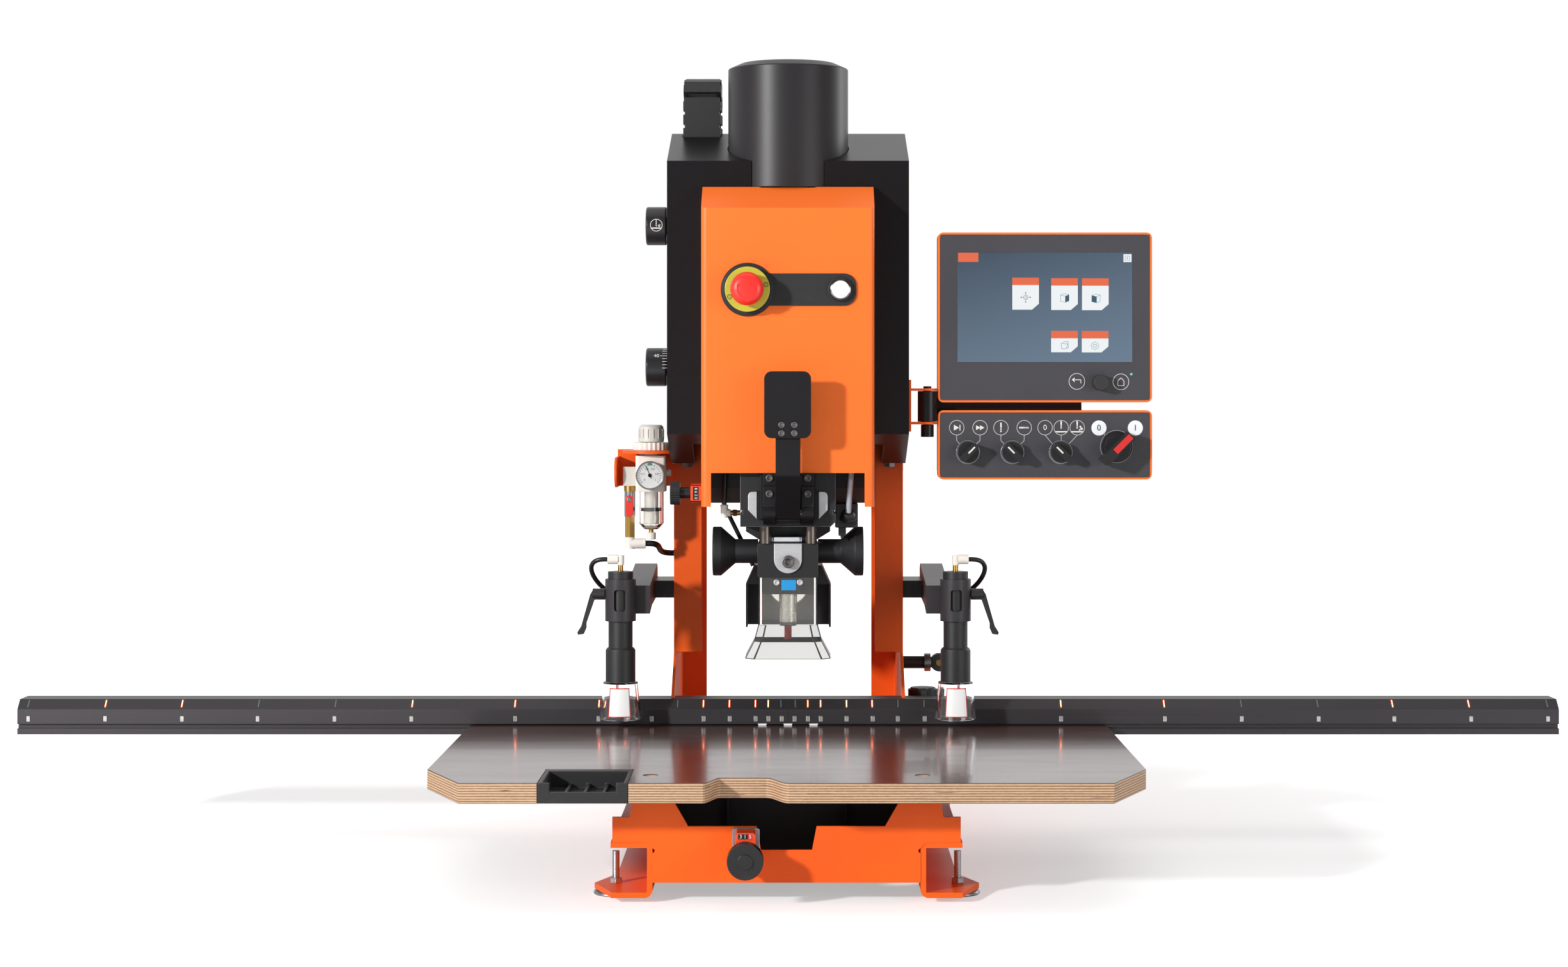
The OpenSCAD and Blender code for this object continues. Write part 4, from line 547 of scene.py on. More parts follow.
# Drag chain: hinged black nylon links that roll over the lift and carry the leads of the motor and
# the switches inside them.
dress("drag_chain", black_moulding, 0.0008)

# Cover of the head: a deep shell with wide folds, open at the back and underneath, in a paler
# orange than the base. It rides on the carriage.
PALE_ORANGE = colour(251, 117, 42)
cover_coat = finish("orange_cover_coat", powder_coat(PALE_ORANGE, colour(248, 111, 37), 0.40))
dress("head_cover", cover_coat, 0.0045, 5)
dress("control_strip", black_moulding, 0.0008, 3)

# Emergency stop: a red mushroom with a turned arrow ridge on a yellow ring. Start button: a clear
# lens lit white from inside in a chromed ring.
STRIP_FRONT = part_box("control_strip")[0].y
RING_RADIUS = 0.0272
RING_HOLE = 0.0125
ARROW_RADIUS = 0.0112
ARROW_HALF = 0.0007
ARROW_RISE = 0.00058
LENS_RADIUS = 0.0128
FILM = 0.00012


def middle_of(node):
    """(x, z) in the middle of a CAD node"""
    low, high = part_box(node)
    return ((low.x + high.x) / 2, (low.z + high.z) / 2)


ESTOP = middle_of("estop_button")
START = middle_of("start_button")


def plastic(hue, roughness, coat=0.0):
    """Smooth moulded plastic with faint flow lines"""
    def recipe(place):
        flow = place.noise(45, 3.0)
        skin = place.noise(1600, 1.0)
        return {
            "Base Color": place.mix(flow, hue, shaded(hue, 0.9)),
            "Roughness": roughness + 0.06 * skin,
            "Coat Weight": coat,
            "Normal": place.bump(skin, 0.00001),
        }
    return recipe


def facing(radius, depth, centre, sides=64):
    """A round bar that looks at the operator"""
    bpy.ops.mesh.primitive_cylinder_add(
        vertices=sides, radius=radius, depth=depth, location=centre, rotation=(math.radians(90), 0, 0)
    )
    return bpy.context.object


def cut_away(piece, tool):
    """Takes a tool's shape out of a piece"""
    cut = piece.modifiers.new("cut", "BOOLEAN")
    cut.object = tool
    cut.operation = "DIFFERENCE"
    changed(piece, cut)
    bpy.data.objects.remove(tool)
    return piece


def printed(outline, front, thickness=FILM):
    """A flat piece that looks at the operator and stands on the plane y = front: a disc whose corners
    are moved to the outline's (x, z) points, made thick"""
    bpy.ops.object.select_all(action="DESELECT")
    bpy.ops.mesh.primitive_circle_add(vertices=len(outline), fill_type="NGON")
    made = bpy.context.object
    for corner, (x, z) in zip(made.data.vertices, outline):
        corner.co = (x, front - thickness, z)
    bpy.ops.object.mode_set(mode="EDIT")
    bpy.ops.mesh.select_all(action="SELECT")
    bpy.ops.mesh.extrude_region_move(TRANSFORM_OT_translate={"value": (0, thickness, 0)})
    bpy.ops.mesh.select_all(action="SELECT")
    bpy.ops.mesh.normals_make_consistent(inside=False)
    bpy.ops.object.mode_set(mode="OBJECT")
    return made


def arc(centre, radius, start, stop, steps=24):
    """Points on an arc from start to stop, in degrees against the clock from the right"""
    turns = [math.radians(start + (stop - start) * i / steps) for i in range(steps + 1)]
    return [(centre[0] + radius * math.cos(turn), centre[1] + radius * math.sin(turn)) for turn in turns]


yellow_ring = eased(cut_away(
    facing(RING_RADIUS, 0.0012, (ESTOP[0], STRIP_FRONT - 0.0006, ESTOP[1])),
    facing(RING_HOLE, 0.0036, (ESTOP[0], STRIP_FRONT - 0.0006, ESTOP[1])),
), 0.0004)
signal_yellow = finish("signal_yellow", plastic(colour(196, 190, 66), 0.22, 0.6))
at_origin(yellow_ring, signal_yellow, "head", "estop_ring")
signal_red = finish("signal_red", plastic(colour(240, 44, 34), 0.36, 0.2))
dress("estop_button", signal_red, 0.0008, 3)
RIDGE_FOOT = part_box("estop_button")[0].y + 0.0006
outer_edge = arc(ESTOP, ARROW_RADIUS + ARROW_HALF, 50, -195)
inner_edge = arc(ESTOP, ARROW_RADIUS - ARROW_HALF, -195, 50)
ridge = printed(outer_edge + inner_edge, RIDGE_FOOT, ARROW_RISE)
tip = arc(ESTOP, ARROW_RADIUS, -214, -214, 1)[0]
barbs = [arc(ESTOP, ARROW_RADIUS + reach, -194, -194, 1)[0] for reach in (0.0024, -0.0024)]
head_of_arrow = printed([tip, *barbs], RIDGE_FOOT, ARROW_RISE)
at_origin(joined([ridge, head_of_arrow], "estop_arrow"), signal_red, "estop_button")
stop_signs = []
for x, z in ((0.0226, 0.0055), (-0.0212, -0.0093)):
    middle = (ESTOP[0] + x, ESTOP[1] + z)
    for radius, steps in ((0.0030, 32), (0.0019, 3)):
        rim = arc(middle, radius, 90, 450, steps)
        inner = arc(middle, radius * 0.76, 450, 90, steps)
        stop_signs.append(printed(rim + inner, STRIP_FRONT - 0.0012))
sign_black = finish("sign_black", plastic(colour(30, 32, 36), 0.45))
at_origin(joined(stop_signs, "estop_signs"), sign_black, "head")


def lens_glow(place):
    """White lens, lit brightest in its middle and shaded to its rim"""
    across = place.axis("X") - START[0]
    up = place.axis("Z") - START[1]
    radius = (across ** 2 + up ** 2) ** 0.5 / LENS_RADIUS
    rim = radius.spread(0.80, 0.86)
    ridge = radius.spread(0.62, 0.70) * (1 - radius.spread(0.72, 0.78))
    lit = place.mix(ridge * 0.6, colour(236, 238, 242), colour(176, 180, 188))
    return {
        "Base Color": place.mix(rim, lit, colour(120, 120, 124)),
        "Metallic": rim,
        "Roughness": 0.16 + 0.1 * place.noise(300, 1.0),
        "Emission Color": place.mix(rim, lit, (0, 0, 0, 1)),
        "Emission Strength": 0.16,
        "Coat Weight": 0.3,
    }


dress("start_button", finish("lit_lens", lens_glow), 0.0005, 3)

# Depth dials: two turned turret stops in black acetal on the left of the casing. The lower one
# has its scale engraved round its rim, the upper one the sign for boring with chip suction.
PRINT = 0.0003


def round_sign(place, x, z, radius):
    """White sign in a ring, seen from the front: an upright bit over a line, with chips beside it"""
    across = place.axis("X") - x
    up = place.axis("Z") - z
    away = (across ** 2 + up ** 2) ** 0.5
    inside = away < radius
    ring = inside * (away > radius * 0.90)
    line = inside * (abs(up + radius * 0.48) < radius * 0.10)
    gaps = place.math("FRACT", (up + across * 0.7) / (radius * 0.30)) > 0.42
    bit = (abs(across) < radius * 0.11) * (up > radius * -0.22) * inside * gaps
    chips = ((across - radius * 0.52) ** 2 + (up + radius * 0.08) ** 2) ** 0.5 < radius * 0.22
    return place.math("MINIMUM", ring + line + bit + chips * (place.noise(900, 1.0) > 0.44), 1.0)


def signed_acetal(place):
    """Black acetal with the sign on the side that faces the operator"""
    sign = round_sign(place, DIAL_X, UPPER_Z, 0.0078) * (place.axis("Y") < DIAL_Y)
    skin = place.stretched((2400, 60, 60)).noise(1.0, 2.0)
    return {
        "Base Color": place.mix(sign, colour(38, 36, 39), colour(214, 210, 206)),
        "Roughness": 0.27 + 0.1 * skin,
        "Normal": place.bump(skin, 0.00002),
    }


DIAL_LOW, DIAL_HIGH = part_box("dial_upper")
DIAL_X = DIAL_LOW.x + 0.0135
DIAL_Y = (DIAL_LOW.y + DIAL_HIGH.y) / 2
DIAL_RADIUS = (DIAL_HIGH.y - DIAL_LOW.y) / 2
UPPER_Z = (DIAL_LOW.z + DIAL_HIGH.z) / 2
LOWER_LOW, LOWER_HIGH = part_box("dial_lower")
LOWER_Z = (LOWER_LOW.z + LOWER_HIGH.z) / 2
SCALE_X = LOWER_LOW.x + 0.0265
SCALE_STEP = 9.6
SCALE_START = -3
NUMBERED_MARK = 4
acetal = finish("black_acetal", plastic(colour(38, 36, 39), 0.3))
white_print = finish("white_print", plastic(colour(226, 224, 220), 0.45))
dress("dial_upper", finish("signed_acetal", signed_acetal), 0.0006)
dress("dial_lower", acetal, 0.0006)


def on_rim(piece, angle):
    """Moves a print from the origin to the lower dial's rim, angle degrees above its front"""
    lean = math.radians(angle)
    piece.rotation_euler.x += -lean
    piece.location.y = DIAL_Y - DIAL_RADIUS * math.cos(lean)
    piece.location.z = LOWER_Z + DIAL_RADIUS * math.sin(lean)
    return piece


def figure(text, size, place, turn=0.0, align="CENTER"):
    """A printed number that looks at the operator, its middle or its align end at place, turned
    about the view"""
    bpy.ops.object.text_add(rotation=(math.radians(90), turn, 0), location=place)
    made = bpy.context.object
    made.data.body = text
    made.data.size = size
    made.data.extrude = PRINT / 2
    made.data.align_x = align
    made.data.align_y = "CENTER"
    bpy.ops.object.convert(target="MESH")
    return bpy.context.object


scale_marks = []
for i in range(11):
    mark_length = 0.0084 if i == NUMBERED_MARK else 0.0056
    mark = block((mark_length, PRINT, 0.0006), (SCALE_X - mark_length / 2, 0, 0), 0.00003)
    scale_marks.append(on_rim(mark, SCALE_START + SCALE_STEP * i))
at_origin(joined(scale_marks, "dial_scale"), white_print, "dial_lower")
number = figure("40", 0.0068, (SCALE_X - 0.0095, 0, 0), align="RIGHT")
at_origin(on_rim(number, SCALE_START + SCALE_STEP * NUMBERED_MARK), white_print, "dial_lower", "dial_number")

# Insertion arm: a black powder-coated steel plate on a bent strap that swings down round the pivot
# pin. Four socket screws in counterbores hold the plate to the strap.
arm_coat = finish("arm_coat", black_coat(colour(19, 17, 20), 0.40, 0.00004))
oxide = finish("black_oxide_steel", steel(colour(124, 121, 119), colour(66, 63, 63), 0.34, metal=0.5))
ARM_LOW, ARM_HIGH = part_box("insertion_arm")
PLATE_HALF, PLATE_THICK = 0.028, 0.006
PLATE_FOOT = ARM_HIGH.z - 0.080
STRAP_MIDDLE, STRAP_WIDTH = 0.0004, 0.0298
PIVOT_Y, PIVOT_Z, PIN_RADIUS = -0.010, 0.413, 0.005
BARREL_RADIUS = 0.009
STRAP = (
    (-0.053, 0.560), (-0.053, 0.464), (-0.0505, 0.4575), (-0.018, 0.409), (-0.004, 0.419), (-0.0425, 0.4625),
    (-0.045, 0.469), (-0.045, 0.560),
)


def round_corners(left, right, foot, top, radius):
    """The outline of an upright rectangle with round corners"""
    return [
        *arc((right - radius, top - radius), radius, 0, 90, 6),
        *arc((left + radius, top - radius), radius, 90, 180, 6),
        *arc((left + radius, foot + radius), radius, 180, 270, 6),
        *arc((right - radius, foot + radius), radius, 270, 360, 6),
    ]


def bar_of(outline, middle, width):
    """A bar from left to right whose cross-section has the outline of (y, z) points"""
    bar = printed(outline, width / 2, width)
    bar.rotation_euler.z = math.radians(90)
    bar.location.x = middle
    return bar


def crossing(radius, left, right, y, z):
    """A round bar from left to right"""
    bpy.ops.mesh.primitive_cylinder_add(
        vertices=48, radius=radius, depth=right - left, location=((left + right) / 2, y, z),
        rotation=(0, math.radians(90), 0),
    )
    return bpy.context.object


def cap_screw(radius, height, front):
    """Head of a socket cap screw that looks at the operator, its face at front, an (x, y, z) point"""
    head = facing(radius, height, (front[0], front[1] + height / 2, front[2]), 32)
    return eased(cut_away(head, facing(radius * 0.56, height, front, 6)), radius * 0.12)


def smooth(piece):
    """Shades a piece smooth across its shallow angles and keeps its wide faces flat"""
    choose(piece)
    bpy.ops.object.shade_smooth_by_angle(angle=math.radians(35))
    level_faces = piece.modifiers.new("level_faces", "WEIGHTED_NORMAL")
    level_faces.keep_sharp = True
    return changed(piece, level_faces)


screw_places = [
    (STRAP_MIDDLE + side * 0.0077, ARM_LOW.y, PLATE_FOOT + lift)
    for side in (-1, 1)
    for lift in (0.0059, 0.0158)
]
plate_outline = round_corners(-PLATE_HALF, PLATE_HALF, PLATE_FOOT, ARM_HIGH.z, 0.009)
arm_plate = printed(plate_outline, ARM_LOW.y + PLATE_THICK, PLATE_THICK)
for place in screw_places:
    cut_away(arm_plate, facing(0.0045, 0.006, place))
barrel = cut_away(
    crossing(BARREL_RADIUS, STRAP_MIDDLE - STRAP_WIDTH / 2, STRAP_MIDDLE + STRAP_WIDTH / 2, PIVOT_Y, PIVOT_Z),
    crossing(PIN_RADIUS + 0.0003, -0.05, 0.05, PIVOT_Y, PIVOT_Z),
)
arm = joined([
    eased(arm_plate, 0.0008, 3),
    eased(bar_of(STRAP, STRAP_MIDDLE, STRAP_WIDTH), 0.0008),
    eased(barrel, 0.0006),
], "swing_arm")
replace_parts(at_origin(smooth(arm), arm_coat, "insertion_arm"), "insertion_arm")
arm_screws = [cap_screw(0.0040, 0.0025, (x, y + 0.0006, z)) for x, y, z in screw_places]
at_origin(joined(arm_screws, "arm_screws"), oxide, "insertion_arm")

# Drill head: a cast aluminium gear housing, painted black and paler along its broken edges, with the
# spindle block under it, a turned grip on each side and the moulded suction hood behind it.
def cast_paint(hue, roughness):
    """Black paint on a sand casting: coarse pores, and a few chips that show the metal"""
    def recipe(place):
        pores = place.noise(420, 4.0, 0.65)
        swell = place.noise(60, 2.0)
        chips = place.noise(130, 6.0, 0.7).spread(0.70, 0.72)
        return {
            "Base Color": place.mix(chips, hue, colour(120, 118, 118)),
            "Metallic": 0.6 * chips,
            "Roughness": roughness + 0.12 * pores,
            "Normal": place.bump(pores + 0.5 * swell, 0.00022),
        }
    return recipe


black_casting = finish("black_painted_casting", cast_paint(colour(25, 24, 27), 0.44))
# Paler tone along the broken edges of the housing and spindle block.
pale_edge = finish("pale_casting_edge", cast_paint(colour(92, 91, 94), 0.36))
satin_steel = finish("satin_steel", steel(colour(206, 205, 203), colour(142, 141, 140), 0.24, (700, 700, 40)))
dress("gear_housing", black_casting, 0.0012, 2, second_tone=pale_edge)
dress("spindle_block", black_casting, 0.0012, 2, second_tone=pale_edge)
grip_plastic = finish("grip_plastic", plastic(colour(30, 29, 32), 0.46))
dress("grip_handles", grip_plastic, 0.0004)
hood_plastic = finish("hood_plastic", moulded(colour(40, 39, 42), 0.42))
dress("suction_hood", hood_plastic, 0.0008)

# Between the casting's bright cheeks a black bracket clamps the arm's pin. Two guide rods of dark,
# streaked steel carry the spindle block with its ground insert and a spirit level behind it.
CASTING_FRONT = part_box("gear_housing")[0].y
BRACKET_FRONT = CASTING_FRONT - 0.021
BLOCK_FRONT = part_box("spindle_block")[0].y
BLOCK_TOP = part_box("spindle_block")[1].z
CHEEK = (
    (0.0374, 0.439), (0.0440, 0.439), (0.0472, 0.4374), (0.0484, 0.4340), (0.0484, 0.4165), (0.0374, 0.4055),
)
CLAMP = (
    (0.001, 0.399), (0.001, 0.4614), (-0.016, 0.4614), (-0.016, 0.4480), (-0.0135, 0.4480), (-0.0135, 0.4460),
    (-0.016, 0.4460), (-0.016, 0.4150), (-0.010, 0.4040), (-0.005, 0.399),
)
CLAMPS = (-0.0222, 0.0240)
CLAMP_WIDTH = 0.0150
INSERT_HALF, INSERT_FOOT = 0.017, 0.338
GUIDE_RADIUS, GUIDE_LENGTH, GUIDE_X, GUIDE_Y = 0.007, 0.0450, 0.028, 0.030
ground_plate = finish("ground_plate", steel(
    colour(226, 227, 229), colour(182, 183, 186), 0.42, (50, 900, 500), 0.75,
))
cheeks = [printed([(side * x, z) for x, z in CHEEK], CASTING_FRONT, 0.004) for side in (-1, 1)]
at_origin(joined([eased(cheek, 0.0008, 3) for cheek in cheeks], "casting_cheeks"), ground_plate, "head")
bracket = joined([
    block((0.0740, 0.004, 0.034), (0.0006, CASTING_FRONT - 0.002, 0.422), 0.0008),
    block((0.0680, 0.003, 0.0560), (0.0006, CASTING_FRONT - 0.0052, 0.4334), 0.0006),
    *(eased(bar_of(CLAMP, x, CLAMP_WIDTH), 0.0005) for x in CLAMPS),
    *(crossing(0.010, x - CLAMP_WIDTH / 2, x + CLAMP_WIDTH / 2, PIVOT_Y, PIVOT_Z) for x in CLAMPS),
    block((0.0300, 0.006, 0.0060), (0.0010, CASTING_FRONT - 0.004, 0.4020), 0.0008),
], "arm_bracket")
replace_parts(at_origin(smooth(bracket), arm_coat, "head"), "slide_guides")
bracket_screws = [
    cap_screw(0.0044, 0.003, (x, BRACKET_FRONT - 0.003, z))
    for x in CLAMPS
    for z in (0.4370, 0.4560)
]
at_origin(joined(bracket_screws, "arm_bracket_screws"), oxide, "head")
pin = crossing(PIN_RADIUS, CLAMPS[0] - CLAMP_WIDTH / 2, CLAMPS[1] + CLAMP_WIDTH / 2, PIVOT_Y, PIVOT_Z)
at_origin(smooth(pin), satin_steel, "head", "arm_pin")
rods = []
for x in (-GUIDE_X, GUIDE_X):
    bpy.ops.mesh.primitive_cylinder_add(
        vertices=48, radius=GUIDE_RADIUS, depth=GUIDE_LENGTH,
        location=(x, GUIDE_Y, BLOCK_TOP + GUIDE_LENGTH / 2),
    )
    rods.append(bpy.context.object)
# Dark, streaked steel for the guide rods.
dark_streaked_steel = finish("dark_streaked_steel", steel(colour(150, 138, 130), colour(34, 31, 32), 0.22, (120, 120, 30)))
at_origin(smooth(joined(rods, "guide_rods")), dark_streaked_steel, "head")
round_foot = arc((0, INSERT_FOOT + INSERT_HALF), INSERT_HALF, 180, 360)
insert = printed([(-INSERT_HALF, BLOCK_TOP), *round_foot, (INSERT_HALF, BLOCK_TOP)], BLOCK_FRONT, 0.003)
at_origin(eased(insert, 0.0005), ground_plate, "head", "clamp_insert")
insert_screw = cap_screw(0.0077, 0.008, (0.0005, BLOCK_FRONT - 0.011, 0.3525))
at_origin(insert_screw, oxide, "head", "clamp_insert_screw")


def level_print(place):
    """White strip with a blue and a red mark near each end"""
    out = abs(place.axis("X") - LEVEL_X) - LEVEL_HALF
    marks = (out > -0.0028) * (out < -0.0012)
    blue = marks * (place.axis("Z") > LEVEL_Z)
    red = marks * (place.axis("Z") < LEVEL_Z - 0.0008)
    paper = place.mix(place.noise(300, 2.0), colour(216, 218, 222), colour(190, 192, 198))
    marked = place.mix(red, place.mix(blue, paper, colour(38, 92, 170)), colour(170, 46, 40))
    holder = place.axis("Z") < BLOCK_TOP + 0.0022
    return {
        "Base Color": place.mix(holder, marked, colour(40, 38, 42)),
        "Roughness": 0.3 + 0.1 * place.noise(900, 1.0),
    }


LEVEL_X, LEVEL_HALF, LEVEL_Z = -0.0015, 0.0185, BLOCK_TOP + 0.0040
level = block((LEVEL_HALF * 2, 0.006, 0.0072), (LEVEL_X, 0.0350, BLOCK_TOP + 0.0037), 0.0006)
at_origin(level, finish("level_print", level_print), "head", "spirit_level")

# Spindle: a ground steel sleeve, a blackened clamping ring and a two-flute bit lacquered red.
SLEEVE_LOW = 0.276
RING_LOW = 0.271
bit_lacquer = finish("red_lacquered_bit", plastic(colour(244, 46, 36), 0.28, 0.3))
dress("spindle", bright_steel, 0.0, parts=(
    (oxide, lambda middle: RING_LOW - 0.0001 < middle.z < SLEEVE_LOW + 0.0001),
    (bit_lacquer, lambda middle: middle.z < RING_LOW),
))

# Chip guard: clear polycarbonate box whose flared foot is soft; on the machine it folds against the
# work at the end of the stroke.
PLASTIC_BEND = 1.49


def clear(name, tint, roughness, through=1.0, shine=0.5):
    """Clear plastic with a few fine rubbing marks; what light doesn't go through scatters as haze"""
    def recipe(place):
        rubs = place.stretched((90, 90, 700)).noise(1.0, 5.0, 0.7).spread(0.58, 0.82)
        return {
            "Base Color": tint,
            "Transmission Weight": through,
            "IOR": PLASTIC_BEND,
            "Specular IOR Level": shine,
            "Roughness": roughness + 0.10 * rubs,
            "Normal": place.bump(place.noise(28, 1.0), 0.0002, 0.2),
        }
    return finish(name, recipe)


SKIRT_TOP = 0.2760
guard_clear = clear("guard_polycarbonate", (0.74, 0.73, 0.69, 1), 0.02, through=0.99, shine=0.2)
skirt_clear = clear("skirt_polycarbonate", (0.54, 0.535, 0.52, 1), 0.05, through=0.95)
dress("chip_guard", guard_clear, 0.0004, parts=((skirt_clear, lambda middle: middle.z < SKIRT_TOP),))
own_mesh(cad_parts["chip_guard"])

# A plain blue label and two screws stand on the guard's front, before the tool's black body.
GUARD_FRONT = BLOCK_FRONT + 0.0015
SCREW_HEIGHT = 0.0026
label = printed(round_corners(-0.0080, 0.0098, 0.3172, 0.3297, 0.0006), GUARD_FRONT - 0.0001, 0.0004)
at_origin(label, finish("label_blue", plastic(colour(24, 150, 218), 0.45)), "head", "guard_label")
guard_screws = [
    cap_screw(0.0037, SCREW_HEIGHT, (x, GUARD_FRONT - SCREW_HEIGHT, 0.3268)) for x in (-0.0139, 0.0146)
]
at_origin(joined(guard_screws, "guard_screws"), ground_plate, "head")

# Air bracket: folded sheet steel in the orange coat, screwed to the left column, with a round
# shelf that the regulator's neck passes through.
dress("air_bracket", orange_coat, 0.0008)

# Regulator: moulded off-white body with a grey knob that is pulled up to turn, a ribbed locking
# ring, a filter element in a clear bowl, and a brass nipple to the column.
REG_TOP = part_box("air_bracket")[1].z - 0.004
KNOB_LOW, KNOB_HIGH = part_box("regulator_knob")
KNOB_RADIUS = (KNOB_HIGH.x - KNOB_LOW.x) / 2
REG_X = (KNOB_LOW.x + KNOB_HIGH.x) / 2
REG_Y = (KNOB_LOW.y + KNOB_HIGH.y) / 2
REG_FOOT = REG_TOP - 0.048
white_moulding = finish("white_moulding", moulded(colour(232, 226, 218), 0.34, 0.00002))
grey_moulding = finish("grey_moulding", moulded(colour(206, 202, 194), 0.38, 0.00003))
brass = finish("machined_brass", steel(colour(214, 176, 104), colour(158, 118, 58), 0.24, (40, 900, 900)))
dress("regulator_body", white_moulding, 0.0007, 3, parts=(
    (brass, lambda middle: middle.x > REG_X + 0.0235),
    (black_moulding, lambda middle: REG_FOOT - 0.0252 < middle.z < REG_FOOT - 0.0208),
))
dress("regulator_knob", grey_moulding, 0.0006)
dress("filter_bowl", clear("bowl_polycarbonate", (0.99, 0.985, 0.97, 1), 0.02), 0.0005, parts=(
    (brass, lambda middle: middle.z < REG_FOOT - 0.0478),
    (white_moulding, lambda middle: middle.z < REG_FOOT - 0.0515),
))
FLUTES = 14
knob_flutes = []
for i in range(FLUTES):
    turn = math.tau * (i + 0.5) / FLUTES
    flute = block((0.0012, 0.0009, 0.0125), (0, 0, 0), 0.0003)
    flute.rotation_euler.z = turn
    flute.location = (
        REG_X + KNOB_RADIUS * math.sin(turn), REG_Y - KNOB_RADIUS * math.cos(turn), KNOB_HIGH.z - 0.0115
    )
    knob_flutes.append(flute)
at_origin(joined(knob_flutes, "knob_flutes"), grey_moulding, "regulator_knob")

# Pressure gauge: chromed steel case, white printed dial from 0 to 1 MPa, black needle and a green
# working mark at the top, under a flat glass.
GAUGE_LOW, GAUGE_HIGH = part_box("pressure_gauge")
GAUGE = middle_of("pressure_gauge")
DIAL_FACE = GAUGE_LOW.y + 0.0025
DIAL_REACH = (GAUGE_HIGH.x - GAUGE_LOW.x) / 2 - 0.0018
DIAL_START, TICK_STEP = -130, 13
chrome = finish("chrome_plate", steel(colour(226, 226, 228), colour(176, 176, 180), 0.1, (30, 30, 30)))
dial_white = finish("gauge_dial", plastic(colour(240, 240, 238), 0.4, 0.5))
dial_black = finish("gauge_print", plastic(colour(34, 34, 38), 0.45))
dial_green = finish("gauge_mark", plastic(colour(20, 130, 84), 0.45))
dress("pressure_gauge", chrome, 0.0004, parts=(
    (dial_white, lambda middle: abs(middle.y - DIAL_FACE) < 0.0001),
    (dial_black, lambda middle: DIAL_FACE - 0.0018 < middle.y < DIAL_FACE - 0.0001
        and math.hypot(middle.x - GAUGE[0], middle.z - GAUGE[1]) < DIAL_REACH - 0.0006),
))


def on_dial(piece, radius, degrees):
    """Places a print on the gauge's dial, degrees clockwise from the top"""
    turn = math.radians(degrees)
    piece.rotation_euler.y = turn
    piece.location = (
        GAUGE[0] + radius * math.sin(turn), DIAL_FACE - PRINT / 2, GAUGE[1] + radius * math.cos(turn)
    )
    return piece


ticks = []
for i in range(21):
    long_tick = i % 4 == 0
    tick = block((0.00055, PRINT, 0.0030 if long_tick else 0.0019), (0, 0, 0), 0.00003)
    ticks.append(on_dial(tick, DIAL_REACH - 0.0029, DIAL_START + TICK_STEP * i))
at_origin(joined(ticks, "gauge_ticks"), dial_black, "root")
figures = []
for i, number in enumerate(("0", "0.2", "0.4", "0.6", "0.8", "1")):
    turn = math.radians(DIAL_START + 4 * TICK_STEP * i)
    figures.append(figure(number, 0.0036, (
        GAUGE[0] + 0.0088 * math.sin(turn), DIAL_FACE - PRINT / 2, GAUGE[1] + 0.0088 * math.cos(turn)
    )))
at_origin(joined(figures, "gauge_figures"), dial_black, "root")
green = block((0.0052, PRINT, 0.0030), (0, 0, 0), 0.0003)
at_origin(joined([on_dial(green, DIAL_REACH - 0.0022, 0)], "gauge_working_mark"), dial_green, "root")
gauge_glass = eased(facing(DIAL_REACH - 0.0002, 0.0008, (GAUGE[0], GAUGE_LOW.y + 0.0004, GAUGE[1])), 0.0003)
at_origin(gauge_glass, clear("gauge_lens", WHITE, 0.0), "root", "gauge_glass")

# Shut-off valve: grey port block, chromed ball valve with a red dipped lever, brass coupling and
# a white push-in elbow for the supply hose.
dress("valve_body", brass, 0.0005, parts=(
    (grey_moulding, lambda middle: middle.z > REG_TOP - 0.0412),
    (chrome, lambda middle: REG_TOP - 0.0799 < middle.z < REG_TOP - 0.0482),
    (white_moulding, lambda middle: middle.z < REG_TOP - 0.1061),
))
dress("valve_lever", finish("dipped_red", plastic(colour(226, 48, 36), 0.34, 0.3)), 0.0011, 3, parts=(
    (chrome, lambda middle: middle.y > REG_Y - 0.0085 or middle.y < REG_Y - 0.0132),
))

# Hold-downs: bent steel arms in black coat, with a clamp collar round each air cylinder and a
# nylon clamping lever. A black sleeve at the rod's end carries a clear pressure cone.
COLLAR_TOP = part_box("hold_down_arms")[1].z - 0.007
CONE_FOOT_RADIUS = 0.0258
PLUNGER_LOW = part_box("plunger_right")[0]
HOLD_X = PLUNGER_LOW.x + CONE_FOOT_RADIUS
HOLD_Y = PLUNGER_LOW.y + CONE_FOOT_RADIUS
SLEEVE_FOOT = PLUNGER_LOW.z + 0.046
dress("hold_down_arms", finish("hold_down_coat", black_coat(colour(52, 49, 52), 0.34, 0.00005)), 0.0012, 3)
dress("hold_down_cylinders", black_moulding, 0.0005, parts=(
    (brass, lambda middle: COLLAR_TOP + 0.0091 < middle.z < COLLAR_TOP + 0.0180),
    (white_moulding, lambda middle: middle.z > COLLAR_TOP + 0.0171 and not (
        middle.z < COLLAR_TOP + 0.0180 and abs(abs(middle.x) - HOLD_X) < 0.0034)),
))
lever_nylon = finish("lever_nylon", moulded(colour(40, 39, 41), 0.4))
cone_clear = clear("cone_polycarbonate", (0.985, 0.99, 1.0, 1), 0.015)
for side in ("left", "right"):
    dress("lever_" + side, lever_nylon, 0.0014, 3)
    dress("plunger_" + side, black_moulding, 0.0005, 3, parts=(
        (cone_clear, lambda middle: middle.z < SLEEVE_FOOT + 0.0001),
    ))

